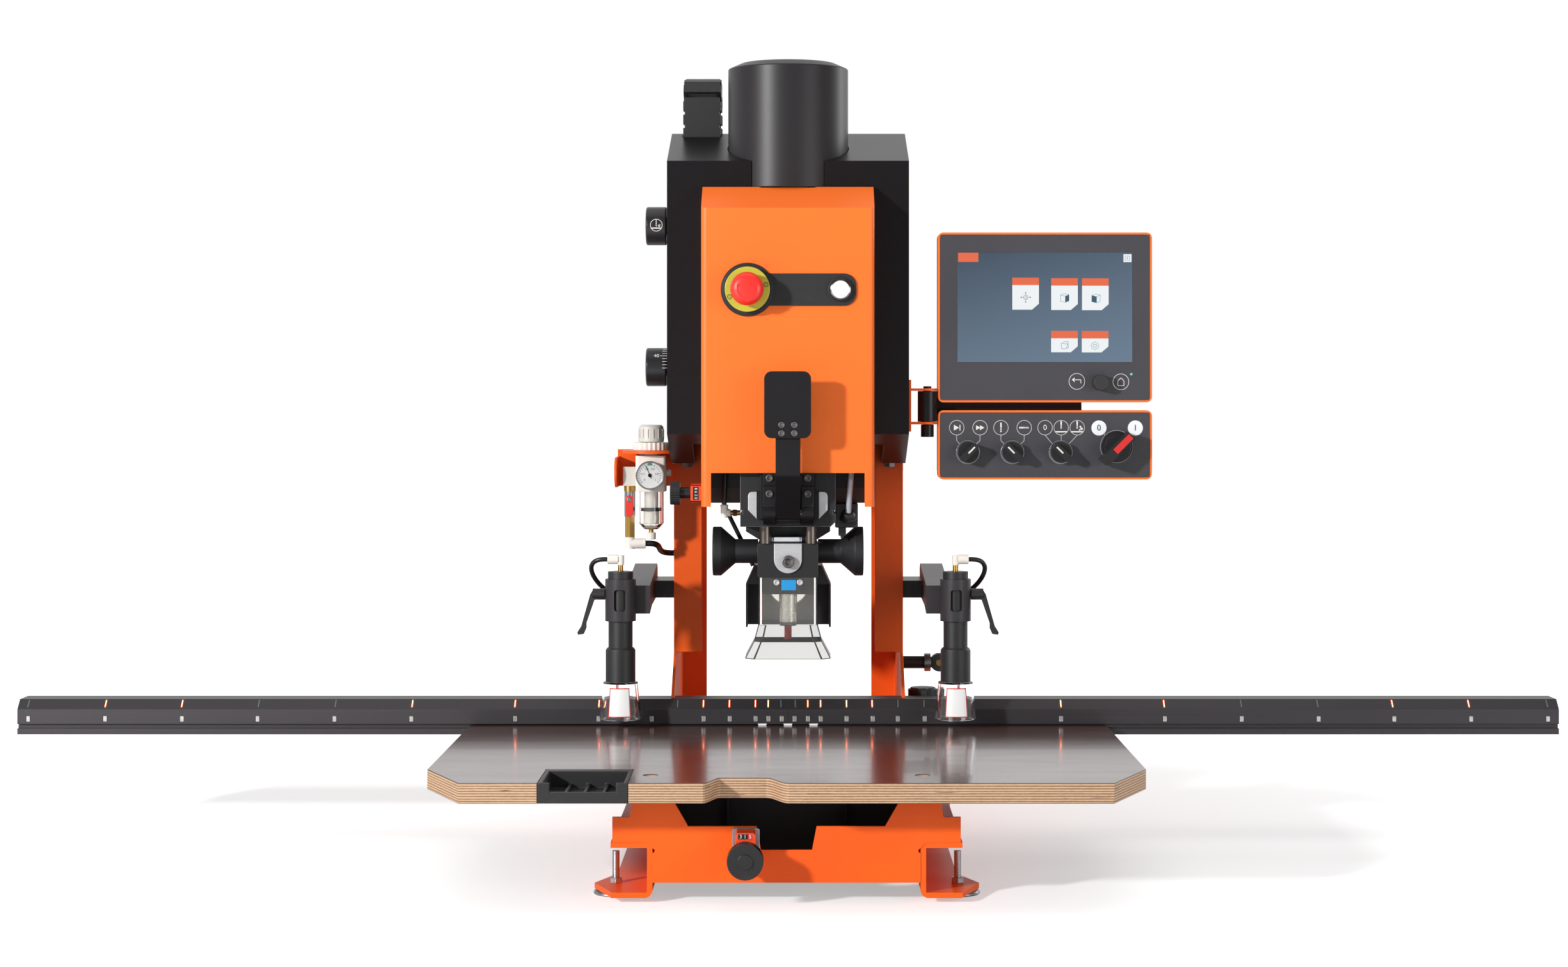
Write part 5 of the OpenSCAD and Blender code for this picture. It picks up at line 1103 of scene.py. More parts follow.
# Label plates on the pressure cones: white film with a red border and nothing printed in it,
# wrapped round the front of the cone.
LABEL_LOW, LABEL_HIGH = 0.160, 0.196
LABEL_TURN = 33
BORDER = 0.0014
BORDER_TURN = 3.4
label_white = finish("label_white", plastic(colour(242, 242, 240), 0.35))
label_red = finish("label_red", plastic(colour(206, 40, 30), 0.35))
CONE_TOP = 0.202
CONE_TOP_RADIUS = 0.02125
CONE_FOOT = 0.159


def cone_radius(z):
    """The cone's outer radius at a height"""
    share = (CONE_TOP - z) / (CONE_TOP - CONE_FOOT)
    return CONE_TOP_RADIUS + share * (CONE_FOOT_RADIUS - CONE_TOP_RADIUS)


def wrapped(name, inset, inset_turn, proud, body, centre_x, material):
    """A film on the cone's front, inset from the label's edge: a grid bent round the cone and made
    thick"""
    low, high, turn = LABEL_LOW + inset, LABEL_HIGH - inset, LABEL_TURN - inset_turn
    bpy.ops.mesh.primitive_grid_add(x_subdivisions=16, y_subdivisions=4, size=2)
    film = bpy.context.object
    for corner in film.data.vertices:
        angle = math.radians(turn) * corner.co.x
        z = (low + high) / 2 + (high - low) / 2 * corner.co.y
        radius = cone_radius(z) + proud
        corner.co = (centre_x + radius * math.sin(angle), HOLD_Y - radius * math.cos(angle), z)
    thick = film.modifiers.new("film", "SOLIDIFY")
    thick.thickness = 0.00012
    thick.offset = 0
    at_origin(changed(film, thick), material, body, name)


for side, x in (("left", -HOLD_X), ("right", HOLD_X)):
    body = "plunger_" + side
    wrapped("label_border_" + side, 0, 0, 0.0001, body, x, label_red)
    wrapped("label_" + side, BORDER, BORDER_TURN, 0.00028, body, x, label_white)

# Air hoses: black polyurethane, one loop from each cylinder's elbow to its arm and one from the
# shut-off valve into the left column. Each leaves its fitting straight and bends under its weight.
def sheath(hue, roughness):
    """Extruded plastic sheath, slightly dull, with faint extrusion waves"""
    def recipe(place):
        waves = place.noise(220, 2.0)
        return {
            "Base Color": place.mix(waves, hue, shaded(hue, 1.2, 0.004)),
            "Roughness": roughness + 0.1 * waves,
            "Normal": place.bump(waves, 0.00003),
        }
    return recipe


hose_black = finish("hose_polyurethane", sheath(colour(26, 25, 27), 0.3))
MM = 0.001
BEND_STEPS = 40


def hose(name, start, leaving, end, arriving, radius, material, body):
    """A hose: straight out of start along leaving, one bend, and straight into end along arriving,
    all four in millimetres. Each straight piece is an eighth of its direction's length."""
    start, leaving, end, arriving = (Vector(v) * MM for v in (start, leaving, end, arriving))
    stops = (start, start + leaving / 8, end - arriving / 8, end)
    bpy.ops.curve.primitive_bezier_curve_add(location=(0, 0, 0))
    made = bpy.context.object
    made.name = name
    route = made.data
    span = route.splines[0]
    span.bezier_points.add(2)
    for point, stop in zip(span.bezier_points, stops):
        point.handle_left_type = "VECTOR"
        point.handle_right_type = "VECTOR"
        point.co = stop
    out, back = span.bezier_points[1], span.bezier_points[2]
    for point in (out, back):
        point.handle_left_type = "FREE"
        point.handle_right_type = "FREE"
    out.handle_left = stops[1] - leaving / 24
    out.handle_right = stops[1] + leaving
    back.handle_left = stops[2] - arriving
    back.handle_right = stops[2] + arriving / 24
    route.resolution_u = 20
    route.render_resolution_u = 20
    route.bevel_depth = radius
    route.bevel_resolution = 5
    route.use_fill_caps = True
    route.materials.append(material)
    length = (stops[1] - stops[0]).length + (stops[3] - stops[2]).length
    last = stops[1]
    for i in range(1, BEND_STEPS + 1):
        share = i / BEND_STEPS
        rest = 1 - share
        here = (rest ** 3 * stops[1] + 3 * rest ** 2 * share * (stops[1] + leaving)
                + 3 * rest * share ** 2 * (stops[2] - arriving) + share ** 3 * stops[2])
        length += (here - last).length
        last = here
    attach(made, body)
    return made


for side, way in (("right", 1), ("left", -1)):
    hose(
        "hold_down_hose_" + side, (way * 223, 62, 353), (way * 36, 0, 0), (way * 200, 106, 303),
        (way * -30, 0, 0), 0.003, hose_black, "root",
    )
supply = hose(
    "supply_hose", (-180.5, 145, 368), (24, 0, 0), (-147, 210, 352), (26, 0, 0), 0.0038, hose_black, "root"
)
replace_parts(supply, "air_hoses")

# Leads on the head: a black air tube with a push-in elbow on the left of the housing and a grey
# cable with its gland and plug on the right. Both go up inside the cover to the carriage, before
# the dark walls that close the cover's back beside the housing.
GLAND_X, GLAND_Y = 0.0738, 0.030
GLAND_LEAN = (0, -0.62, 0.78)
TUBE_X = -0.078
PORT_Z = 0.412
HOUSING_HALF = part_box("gear_housing")[1].x
COVER_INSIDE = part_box("head_cover")[1].x - 0.0024


def turned(profile, foot, towards, sides=40):
    """A piece turned on a lathe from its half profile: (radius, height) points from foot along towards"""
    bpy.ops.object.select_all(action="DESELECT")
    bpy.ops.mesh.primitive_plane_add(size=0.001)
    made = bpy.context.object
    bpy.ops.object.mode_set(mode="EDIT")
    bpy.ops.mesh.select_all(action="SELECT")
    bpy.ops.mesh.merge(type="CENTER")
    bpy.ops.transform.translate(value=(profile[0][0], 0, profile[0][1]))
    for (radius, height), (next_radius, next_height) in zip(profile, profile[1:]):
        step = (next_radius - radius, 0, next_height - height)
        bpy.ops.mesh.extrude_region_move(TRANSFORM_OT_translate={"value": step})
    bpy.ops.mesh.select_all(action="SELECT")
    bpy.ops.mesh.spin(steps=sides, angle=math.tau, center=(0, 0, 0), axis=(0, 0, 1))
    bpy.ops.mesh.select_all(action="SELECT")
    bpy.ops.mesh.remove_doubles(threshold=0.00001)
    bpy.ops.mesh.normals_make_consistent(inside=False)
    bpy.ops.object.mode_set(mode="OBJECT")
    bpy.ops.object.shade_smooth_by_angle(angle=math.radians(35))
    made.rotation_euler = Vector(towards).to_track_quat("Z", "Y").to_euler()
    made.location = foot
    return made


def rod(radius, length, foot, towards, edge=0.0003, sides=40):
    """A round bar with broken edges"""
    side = ((radius - edge, 0), (radius, edge), (radius, length - edge), (radius - edge, length))
    return turned(((0, 0), *side, (0, length)), foot, towards, sides)


UP, RIGHT, FRONT = (0, 0, 1), (1, 0, 0), (0, -1, 0)
elbow = joined([
    rod(0.0045, 0.0160, (TUBE_X, GLAND_Y, PORT_Z - 0.006), UP),
    rod(0.0052, 0.0018, (TUBE_X, GLAND_Y, PORT_Z + 0.0075), UP),
    rod(0.0040, 0.0080, (TUBE_X, GLAND_Y, PORT_Z), RIGHT),
    rod(0.0047, 0.0022, (TUBE_X + 0.0056, GLAND_Y, PORT_Z), RIGHT),
], "head_elbow")
at_origin(elbow, white_moulding, "head")
nipple = joined([
    rod(0.0032, -HOUSING_HALF - TUBE_X - 0.0078, (TUBE_X + 0.0078, GLAND_Y, PORT_Z), RIGHT),
    rod(0.0046, 0.0050, (TUBE_X + 0.0105, GLAND_Y, PORT_Z), RIGHT, 0.0003, 6),
], "head_nipple")
at_origin(nipple, brass, "head")
plug = joined([
    block((0.028, 0.016, 0.030), (HOUSING_HALF + 0.0138, GLAND_Y + 0.008, 0.4086), 0.0015, 3),
    rod(0.0102, 0.0040, (GLAND_X, GLAND_Y + 0.0015, 0.4050), GLAND_LEAN, 0.0008),
    turned(((0, 0), (0.0088, 0), (0.0088, 0.003), (0.0066, 0.0066), (0.0041, 0.0072), (0, 0.0072)),
           (GLAND_X, GLAND_Y - 0.0007, 0.4078), GLAND_LEAN),
    block((0.0094, 0.010, 0.011), (HOUSING_HALF + 0.0086, GLAND_Y + 0.008, 0.3890), 0.0008),
    rod(0.0022, 0.0040, (HOUSING_HALF + 0.0086, GLAND_Y + 0.008, 0.3805), UP),
], "head_plug")
at_origin(plug, black_moulding, "head")
grey_sheath = finish("grey_sheath", sheath(colour(172, 176, 184), 0.42))
head_tube = hose(
    "head_air_tube", (-78, 30, 422), (0, 0, 40), (-70, 40, 560), (0, 0, 30), 0.003, hose_black, "head"
)
hose(
    "head_grey_cable", (73.8, 25, 413), (2, -12, 32), (84, 36, 559.5), (0, 0, 34), 0.0035, grey_sheath, "head"
)
hose(
    "hood_air_tube", (-58.2, 104, 452), (-44, 0, 0), (-44, 110, 342), (24, 0, -56), 0.0028, hose_black, "head"
)
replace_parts(head_tube, "head_cables")
walls, strips = [], []
width = COVER_INSIDE - HOUSING_HALF - 0.0006
for side in (-1, 1):
    middle = side * (HOUSING_HALF + COVER_INSIDE) / 2
    walls.append(block((width, 0.002, 0.119), (middle, GLAND_Y + 0.0140, 0.5002), 0.0004))
    strips.append(block((width, 0.0014, 0.0190), (middle, GLAND_Y + 0.0136, 0.4330), 0.0004))
at_origin(joined(walls, "cover_rear_walls"), black_moulding, "head")
brown_strip = finish("brown_sealing_strip", plastic(colour(70, 54, 51), 0.5))
at_origin(joined(strips, "cover_rear_strips"), brown_strip, "head")

# Position counters: orange moulded housings with white figures on black wheels in a window. The
# front one stands on a bright aluminium plate and is turned by a large knurled knob.
COUNTER_LOW, COUNTER_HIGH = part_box("front_counter")
COUNTER_X = middle_of("front_counter")[0]
COUNTER_HALF = 0.0112
COUNTER_FACE = COUNTER_LOW.y
BEARING_THICK = 0.003
BEARING_FRONT = COUNTER_HIGH.y - BEARING_THICK
KNOB_Z = middle_of("front_knob")[1]
WINDOW_Z = COUNTER_HIGH.z - 0.0045
WINDOW_HEIGHT = 0.0056
counter_orange = finish("counter_orange", plastic(colour(238, 74, 24), 0.34, 0.3))
wheel_black = finish("counter_wheels", plastic(colour(26, 24, 26), 0.4))
wheel_red = finish("counter_tenths_wheel", plastic(colour(206, 52, 46), 0.4))
knob_rubber = finish("knob_plastic", moulded(colour(30, 29, 31), 0.4))
SHAFT_HOLE = (0.0045, 0.1, (COUNTER_X, COUNTER_FACE, KNOB_Z))
bearing_outline = round_corners(COUNTER_LOW.x, COUNTER_HIGH.x, COUNTER_LOW.z, COUNTER_HIGH.z, 0.003)
bearing_plate = cut_away(printed(bearing_outline, COUNTER_HIGH.y, BEARING_THICK), facing(*SHAFT_HOLE))
at_origin(eased(bearing_plate, 0.0004), cast_aluminium, "root", "counter_plate")
housing_outline = round_corners(
    COUNTER_X - COUNTER_HALF, COUNTER_X + COUNTER_HALF, COUNTER_LOW.z + 0.003, COUNTER_HIGH.z - 0.0009, 0.003
)
housing = printed(housing_outline, BEARING_FRONT, BEARING_FRONT - COUNTER_FACE - 0.0005)
counter = joined([
    eased(cut_away(housing, facing(*SHAFT_HOLE)), 0.0008, 3),
    block((0.0186, 0.0012, 0.0078), (COUNTER_X, COUNTER_FACE + 0.0007, WINDOW_Z), 0.0004),
], "counter_housing")
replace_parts(at_origin(counter, counter_orange, "root"), "front_counter")
for name, width, across, depth, material in (
    ("counter_wheel_window", 0.0160, 0, 0.0004, wheel_black),
    ("counter_tenths_window", 0.0050, 0.0055, 0.00032, wheel_red),
):
    middle = (COUNTER_X + across, COUNTER_FACE + depth, WINDOW_Z)
    at_origin(block((width, 0.0008, WINDOW_HEIGHT), middle, 0.0001), material, "root", name)
at_origin(joined([
    figure(text, 0.0058, (COUNTER_X + x, COUNTER_FACE - FILM, WINDOW_Z))
    for text, x in (("3", -0.0050), ("1", -0.0003), ("5", 0.0052))
], "counter_figures"), white_print, "root")
dress("front_knob", knob_rubber, 0.0003)

SIDE_LOW, SIDE_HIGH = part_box("side_counter")
SIDE_MIDDLE = (SIDE_LOW + SIDE_HIGH) / 2
SIDE_WHEELS = SIDE_LOW.y + 0.0010 - PRINT / 2
dress("side_counter", counter_orange, 0.0006, parts=(
    (wheel_black, lambda middle: SIDE_LOW.y + 0.0002 < middle.y < SIDE_LOW.y + 0.0012),
))
at_origin(joined([
    figure(text, 0.0048, (SIDE_MIDDLE.x, SIDE_WHEELS, SIDE_MIDDLE.z + lift), math.radians(90))
    for text, lift in (("0", -0.0058), ("2", -0.0020), ("6", 0.0018), ("8", 0.0056))
], "side_counter_figures"), white_print, "head")
dress("side_knob", knob_rubber, 0.0003)

# Fence clamp and support rod: a knurled knob on the back of the fence, and a short bar with a
# silver collar and an eye on the right column.
dress("clamp_knob", knob_rubber, 0.0004)
ROD_LOW, ROD_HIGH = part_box("support_rod")
ROD_Y = (ROD_LOW.y + ROD_HIGH.y) / 2
ROD_Z = (ROD_LOW.z + ROD_HIGH.z) / 2
COLLAR_END = ROD_LOW.x + 0.0361
EYE_X = ROD_LOW.x + 0.047
dress("support_rod", black_casting, 0.0008, parts=(
    (satin_steel, lambda middle: ROD_LOW.x + 0.0279 < middle.x < COLLAR_END),
    (brass, lambda middle: abs(middle.y - ROD_Y) > 0.0071 and middle.x > COLLAR_END
        and math.hypot(middle.x - EYE_X, middle.z - ROD_Z) < 0.0042),
))

# Marks on the fence: three white half-moons in its foot over the table's middle, a black line along
# its foot that is painted shade in the groove there, and the joint of its two halves.
MOON_HALF, MOON_DEPTH, MOON_TOP = 0.0055, 0.0038, 0.1457
FENCE_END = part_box("ruler_beam")[1].x
GAP_DEPTH = 0.0002


def half_moon(x):
    """The lower half of an ellipse"""
    turns = [math.pi * (1 + i / 16) for i in range(17)]
    outline = [(x + MOON_HALF * math.cos(turn), MOON_TOP + MOON_DEPTH * math.sin(turn)) for turn in turns]
    return printed(outline, FENCE_FACE, 0.0003)


def oblong(left, right, foot, top, front, thickness=FILM):
    """A printed rectangle"""
    return printed(((left, top), (left, foot), (right, foot), (right, top)), front, thickness)


moons = [half_moon(x) for x in (-0.0323, -0.0003, 0.0317)]
at_origin(joined(moons, "fence_half_moons"), label_white, "root")
# The long black line is painted shade in the fence's groove; the short one is the joint.
gaps = [
    oblong(-FENCE_END, FENCE_END, 0.1452, 0.1458, FENCE_FACE, GAP_DEPTH),
    oblong(-0.0006, 0, 0.1460, 0.1640, FENCE_FACE, GAP_DEPTH),
]
at_origin(joined(gaps, "fence_shadow_gaps"), sign_black, "root")

# Inside of the base: a black sheet with two ribs stands across it behind the notch of the front plate
# as painted shade: it darkens what shows under the table, and its ribs, orange on the machine, are
# black for the shade they stand in.
RAIL_WEB, GUSSET, RAIL_TOP, TABLE_FOOT = 0.147, 0.158, 0.067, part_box("work_table")[0].z
WALL_Y, WALL_FOOT, RIB_FOOT = -0.250, 0.036, 0.06
right_edge = ((RAIL_WEB, WALL_FOOT), (RAIL_WEB, RAIL_TOP), (GUSSET, RAIL_TOP), (GUSSET, TABLE_FOOT))
left_edge = [(-x, z) for x, z in reversed(right_edge)]
dark_wall = printed([*right_edge, *left_edge], WALL_Y, 0.003)
ribs = [
    block((0.003, 0.010, TABLE_FOOT - RIB_FOOT), (x, WALL_Y - 0.008, (TABLE_FOOT + RIB_FOOT) / 2), 0.0004)
    for x in (-0.066, 0.066)
]
# Black for the inside of the base, painted shade.
painted_shade_black = finish("painted_shade_black", black_coat(colour(15, 14, 16), 0.6, 0.00004))
at_origin(joined([dark_wall, *ribs], "base_dark_wall"), painted_shade_black, "root")

# Panel bracket and arm: orange tabs on the casing hold a black tube arm that swings on a vertical
# pin; both panels are screwed to it from behind.
dress("panel_bracket", orange_coat, 0.0006)
dress("panel_arm", casing_coat, 0.0010)

# Display panel: an orange powder-coated tray with a charcoal printed front. The touch screen glows
# slate blue and shows plain tiles; a turning knob stands between two touch keys under it.
PANEL_LOW, PANEL_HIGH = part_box("display_panel")
RIM = 0.0025
CHARCOAL = colour(40, 40, 44)
PANEL_FACE = PANEL_LOW.y + 0.001
SCREEN = ((0.2105, 0.5980), (0.4277, 0.7330))


def charcoal_print(place):
    """Matt screen print on aluminium: fine grain and a faint gloss cloud"""
    grain = place.noise(2600, 2.0)
    cloud = place.noise(9, 2.0)
    return {
        "Base Color": place.mix(grain * 0.6 + cloud * 0.3, CHARCOAL, colour(78, 76, 82)),
        "Roughness": 0.5 + 0.08 * cloud,
        "Normal": place.bump(grain, 0.00003),
    }


def slate_screen(place):
    """Backlit screen, a little darker towards its top left"""
    rise = place.axis("Z").spread(SCREEN[0][1], SCREEN[1][1])
    across = place.axis("X").spread(SCREEN[0][0], SCREEN[1][0])
    shade = (rise * 0.7 + (1 - across) * 0.3) ** 1.2
    lit = place.mix(shade, colour(110, 130, 150), colour(70, 84, 100))
    return {
        "Base Color": colour(20, 22, 26),
        "Roughness": 0.14 + 0.05 * place.noise(500, 1.0),
        "Emission Color": lit,
        "Emission Strength": 0.9,
    }


def inside_rim(low, high):
    """True for the faces within the orange rim of a panel"""
    return lambda middle: (
        low.x + RIM + 0.0001 < middle.x < high.x - RIM - 0.0001
        and low.z + RIM + 0.0001 < middle.z < high.z - RIM - 0.0001
        and middle.y < low.y + 0.0045
    )


charcoal = finish("charcoal_print", charcoal_print)
screen_glow = finish("screen_glow", slate_screen)
panel_orange = powder_coat(colour(250, 120, 46), colour(244, 110, 40), 0.36)
bright_orange_coat = finish("panel_orange_coat", panel_orange)
dress("display_panel", bright_orange_coat, 0.0006, 2, parts=(
    (charcoal, inside_rim(PANEL_LOW, PANEL_HIGH)),
    (screen_glow, lambda middle: middle.y < PANEL_FACE - 0.0001
        and SCREEN[0][0] - 0.0006 < middle.x < SCREEN[1][0] + 0.0006
        and SCREEN[0][1] - 0.0006 < middle.z < SCREEN[1][1] + 0.0006),
))
SCREEN_FACE = PANEL_FACE - 0.0006


def stroke(points, width, front):
    """Straight printed lines from point to point, as one flat print each"""
    lines = []
    for (x, z), (to_x, to_z) in zip(points, points[1:]):
        reach = math.hypot(to_x - x, to_z - z)
        side = (-(to_z - z) / reach * width / 2, (to_x - x) / reach * width / 2)
        lines.append(printed((
            (x + side[0], z + side[1]), (x - side[0], z - side[1]),
            (to_x - side[0], to_z - side[1]), (to_x + side[0], to_z + side[1]),
        ), front))
    return lines


def hoop(x, z, outer, width, front):
    """A printed ring"""
    inner = outer - width
    profile = ((inner, 0), (outer, 0), (outer, FILM), (inner, FILM), (inner, 0))
    return turned(profile, (x, front, z), FRONT, 48)


def disc(x, z, radius, front):
    """A printed round dot"""
    return printed(arc((x, z), radius, 0, 360 * 31 / 32, 31), front)


def lit_print(name, hue, strength=0.92):
    """What the screen shows: its own light in one colour, with a faint grain"""
    def recipe(place):
        grain = place.noise(2000, 1.0)
        return {
            "Base Color": colour(24, 24, 26),
            "Roughness": 0.18 + 0.04 * grain,
            "Emission Color": hue,
            "Emission Strength": strength,
        }
    return finish(name, recipe)


TILE_WIDTH = 0.0330
HEADER = 0.0092
CORNER_CUT = (0.0086, 0.0074)
TILES = ((0.2785, 0.7018, 0.0397), (0.3268, 0.7012, 0.0395), (0.3651, 0.7010, 0.0395),
         (0.3267, 0.6357, 0.0265), (0.3648, 0.6355, 0.0265))
tile_white = lit_print("tile_white", colour(246, 250, 252))
tile_orange = lit_print("tile_orange", colour(240, 112, 74))
icon_teal = lit_print("icon_teal", colour(52, 132, 156))
icon_slate = lit_print("icon_slate", colour(70, 92, 108))
bodies_of_tiles = []
headers = []
for left, top, height in TILES:
    right, foot = left + TILE_WIDTH, top - height
    bodies_of_tiles.append(printed((
        (left, top - HEADER), (left, foot), (right - CORNER_CUT[0], foot), (right, foot + CORNER_CUT[1]),
        (right, top - HEADER),
    ), SCREEN_FACE))
    headers.append(oblong(left, right, top - HEADER, top, SCREEN_FACE))
headers.append(oblong(0.2112, 0.2363, 0.7214, 0.7328, SCREEN_FACE))
bodies_of_tiles.append(oblong(0.4165, 0.4265, 0.7212, 0.7310, SCREEN_FACE))
at_origin(joined(bodies_of_tiles, "screen_tiles"), tile_white, "panels")
at_origin(joined(headers, "screen_tile_headers"), tile_orange, "panels")

# Icons on the tiles: arrows round a target, a closed and an open box, a folder and a gear wheel,
# drawn in thin teal lines.
ICON_FACE = SCREEN_FACE - FILM
target = (0.2951, 0.6774)
teal = [hoop(*target, 0.0031, 0.0005, ICON_FACE), hoop(*target, 0.0014, 0.0004, ICON_FACE)]
slate = []
for x, z in ((1, 0), (0, 1), (-1, 0), (0, -1)):
    start = (target[0] + 0.0022 * x, target[1] + 0.0022 * z)
    tip = (target[0] + 0.0052 * x, target[1] + 0.0052 * z)
    slate += stroke((start, tip), 0.0004, ICON_FACE)
    slate.append(printed((
        (target[0] + 0.0068 * x, target[1] + 0.0068 * z),
        (tip[0] - 0.0011 * z, tip[1] + 0.0011 * x), (tip[0] + 0.0011 * z, tip[1] - 0.0011 * x),
    ), ICON_FACE))


def box_corners(x, z):
    """The three sides that show of a box seen from above its upright front edge"""
    left, back, right = (x - 0.0052, z + 0.0035), (x - 0.0004, z + 0.0052), (x + 0.0054, z + 0.0040)
    edge_top, edge_foot = (x + 0.0008, z + 0.0020), (x + 0.0008, z - 0.0056)
    return {
        "top": (left, back, right, edge_top),
        "left": (left, edge_top, edge_foot, (x - 0.0052, z - 0.0042)),
        "right": (edge_top, right, (x + 0.0054, z - 0.0038), edge_foot),
    }


for x, z, filled in ((0.3435, 0.6768, "right"), (0.3823, 0.6762, "left")):
    sides = box_corners(x, z)
    for side in sides.values():
        teal += stroke((*side, side[0]), 0.0004, ICON_FACE)
    slate.append(printed(sides[filled][::-1], ICON_FACE))
folder = ((0.3390, 0.6205), (0.3400, 0.6135), (0.3455, 0.6135), (0.3472, 0.6195), (0.3425, 0.6195),
          (0.3412, 0.6205), (0.3390, 0.6205))
leaf = ((0.3418, 0.6210), (0.3424, 0.6222), (0.3478, 0.6224), (0.3482, 0.6150), (0.3462, 0.6142))
teal += stroke(folder, 0.0005, ICON_FACE) + stroke(leaf, 0.0005, ICON_FACE)
gear = (0.3811, 0.6172)
gear_outline = []
for i in range(32):
    reach = 0.0050 if i % 4 in (0, 1) else 0.0040
    turn = math.tau * (i - 0.5) / 32
    gear_outline.append((gear[0] + reach * math.cos(turn), gear[1] + reach * math.sin(turn)))
teal += stroke((*gear_outline, gear_outline[0]), 0.0004, ICON_FACE)
teal.append(hoop(gear[0], gear[1], 0.0022, 0.0005, ICON_FACE))
mark = ((0.4188, 0.7287), (0.4188, 0.7235), (0.4242, 0.7235), (0.4242, 0.7287), (0.4188, 0.7287))
teal += stroke(mark, 0.0004, ICON_FACE) + stroke(((0.4215, 0.7250), (0.4215, 0.7272)), 0.0007, ICON_FACE)
at_origin(joined(teal, "screen_icon_lines"), icon_teal, "panels")
at_origin(joined(slate, "screen_icon_fills"), icon_slate, "panels")

# Keys under the screen: printed white rings with a back arrow and a house, and a green lamp.
KEY_RADIUS = 0.0101
BACK_KEY = (0.3587, 0.5730)
HOME_KEY = (0.4134, 0.5725)
keys = [hoop(x, z, KEY_RADIUS, 0.0006, PANEL_FACE) for x, z in (BACK_KEY, HOME_KEY)]
x, z = BACK_KEY
back_line = ((x + 0.0050, z - 0.0024), (x + 0.0050, z + 0.0020), (x - 0.0036, z + 0.0020))
back_tip = ((x - 0.0062, z + 0.0020), (x - 0.0028, z - 0.0010), (x - 0.0028, z + 0.0050))
keys += stroke(back_line, 0.0009, PANEL_FACE)
keys.append(printed(back_tip, PANEL_FACE))
x, z = HOME_KEY
house = ((x - 0.0038, z - 0.0046), (x + 0.0038, z - 0.0046), (x + 0.0038, z + 0.0012), (x, z + 0.0050),
         (x - 0.0038, z + 0.0012), (x - 0.0038, z - 0.0046))
keys += stroke(house, 0.0007, PANEL_FACE)
at_origin(joined(keys, "key_prints"), white_print, "panels")
ready = disc(0.4263, 0.5820, 0.0015, PANEL_FACE)
at_origin(ready, lit_print("ready_green", colour(120, 236, 176), 1.0), "panels", "ready_lamp")
dress("encoder_knob", finish("encoder_plastic", moulded(colour(44, 43, 45), 0.5)), 0.0010, 3)

# Switch panel: the same orange tray and charcoal print as the display, with three selector
# switches and the red-handled main switch. Printed rings over each show what it selects.
SWITCH_LOW, SWITCH_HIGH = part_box("switch_panel")
SWITCH_FACE = SWITCH_HIGH.y - 0.024
SELECTORS = {name: middle_of(name) for name in ("selector_1", "selector_2", "selector_3")}
BEZEL_RADIUS = 0.0140
MAIN_X = 0.4080
MAIN_Z = 0.4920
MAIN_RADIUS = 0.0195


def near(x, z, reach):
    """True for the faces proud of the panel within reach of a point"""
    return lambda middle: math.hypot(middle.x - x, middle.z - z) < reach and middle.y < SWITCH_FACE - 0.0001


zinc_bezel = steel(colour(200, 202, 204), colour(150, 152, 154), 0.2, (30, 30, 30))
selector_zinc = finish("selector_zinc", zinc_bezel)
switch_black = finish("switch_black", plastic(colour(34, 33, 36), 0.32, 0.2))
dress("switch_panel", bright_orange_coat, 0.0006, 2, parts=(
    (charcoal, inside_rim(SWITCH_LOW + Vector((0, 0.006, 0)), SWITCH_HIGH)),
    *((selector_zinc, near(x, z, BEZEL_RADIUS)) for x, z in SELECTORS.values()),
    (switch_black, near(MAIN_X, MAIN_Z, MAIN_RADIUS + 0.0005)),
))

# Selector knobs: black nylon with a raised grip and a white pointer let into its upper half.
POINTER = (0.0020, 0.0006, 0.0112)
GRIP_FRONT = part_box("selector_1")[0].y
POINTER_LIFT = 0.0045
for name, degrees in (("selector_1", 45), ("selector_2", -45), ("selector_3", -45)):
    dress(name, switch_black, 0.0016, 3)
    x, z = SELECTORS[name]
    turn = math.radians(degrees)
    pointer = block(POINTER, (0, 0, 0), 0.0003)
    pointer.rotation_euler.y = turn
    pointer.location = (
        x + POINTER_LIFT * math.sin(turn), GRIP_FRONT + 0.0001, z + POINTER_LIFT * math.cos(turn)
    )
    at_origin(pointer, white_print, name, name + "_pointer")

# Main switch: a black disc with a silver edge line, and a square black handle with a red insert
# that lies across it and can be padlocked in the off position.
main_red = finish("main_switch_red", plastic(colour(214, 44, 40), 0.3, 0.3))
HANDLE_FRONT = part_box("main_switch")[0].y
dress("main_switch", switch_black, 0.0011, 3, parts=(
    (main_red, lambda middle: middle.y < HANDLE_FRONT + 0.0018),
))
silver_line = finish("silver_line", plastic(colour(196, 198, 200), 0.4))
bezel_lines = [hoop(x, z, 0.0147, 0.0004, SWITCH_FACE) for x, z in SELECTORS.values()]
bezel_lines.append(hoop(MAIN_X, MAIN_Z, MAIN_RADIUS + 0.0009, 0.0004, SWITCH_FACE))
at_origin(joined(bezel_lines, "switch_bezel_lines"), silver_line, "panels")

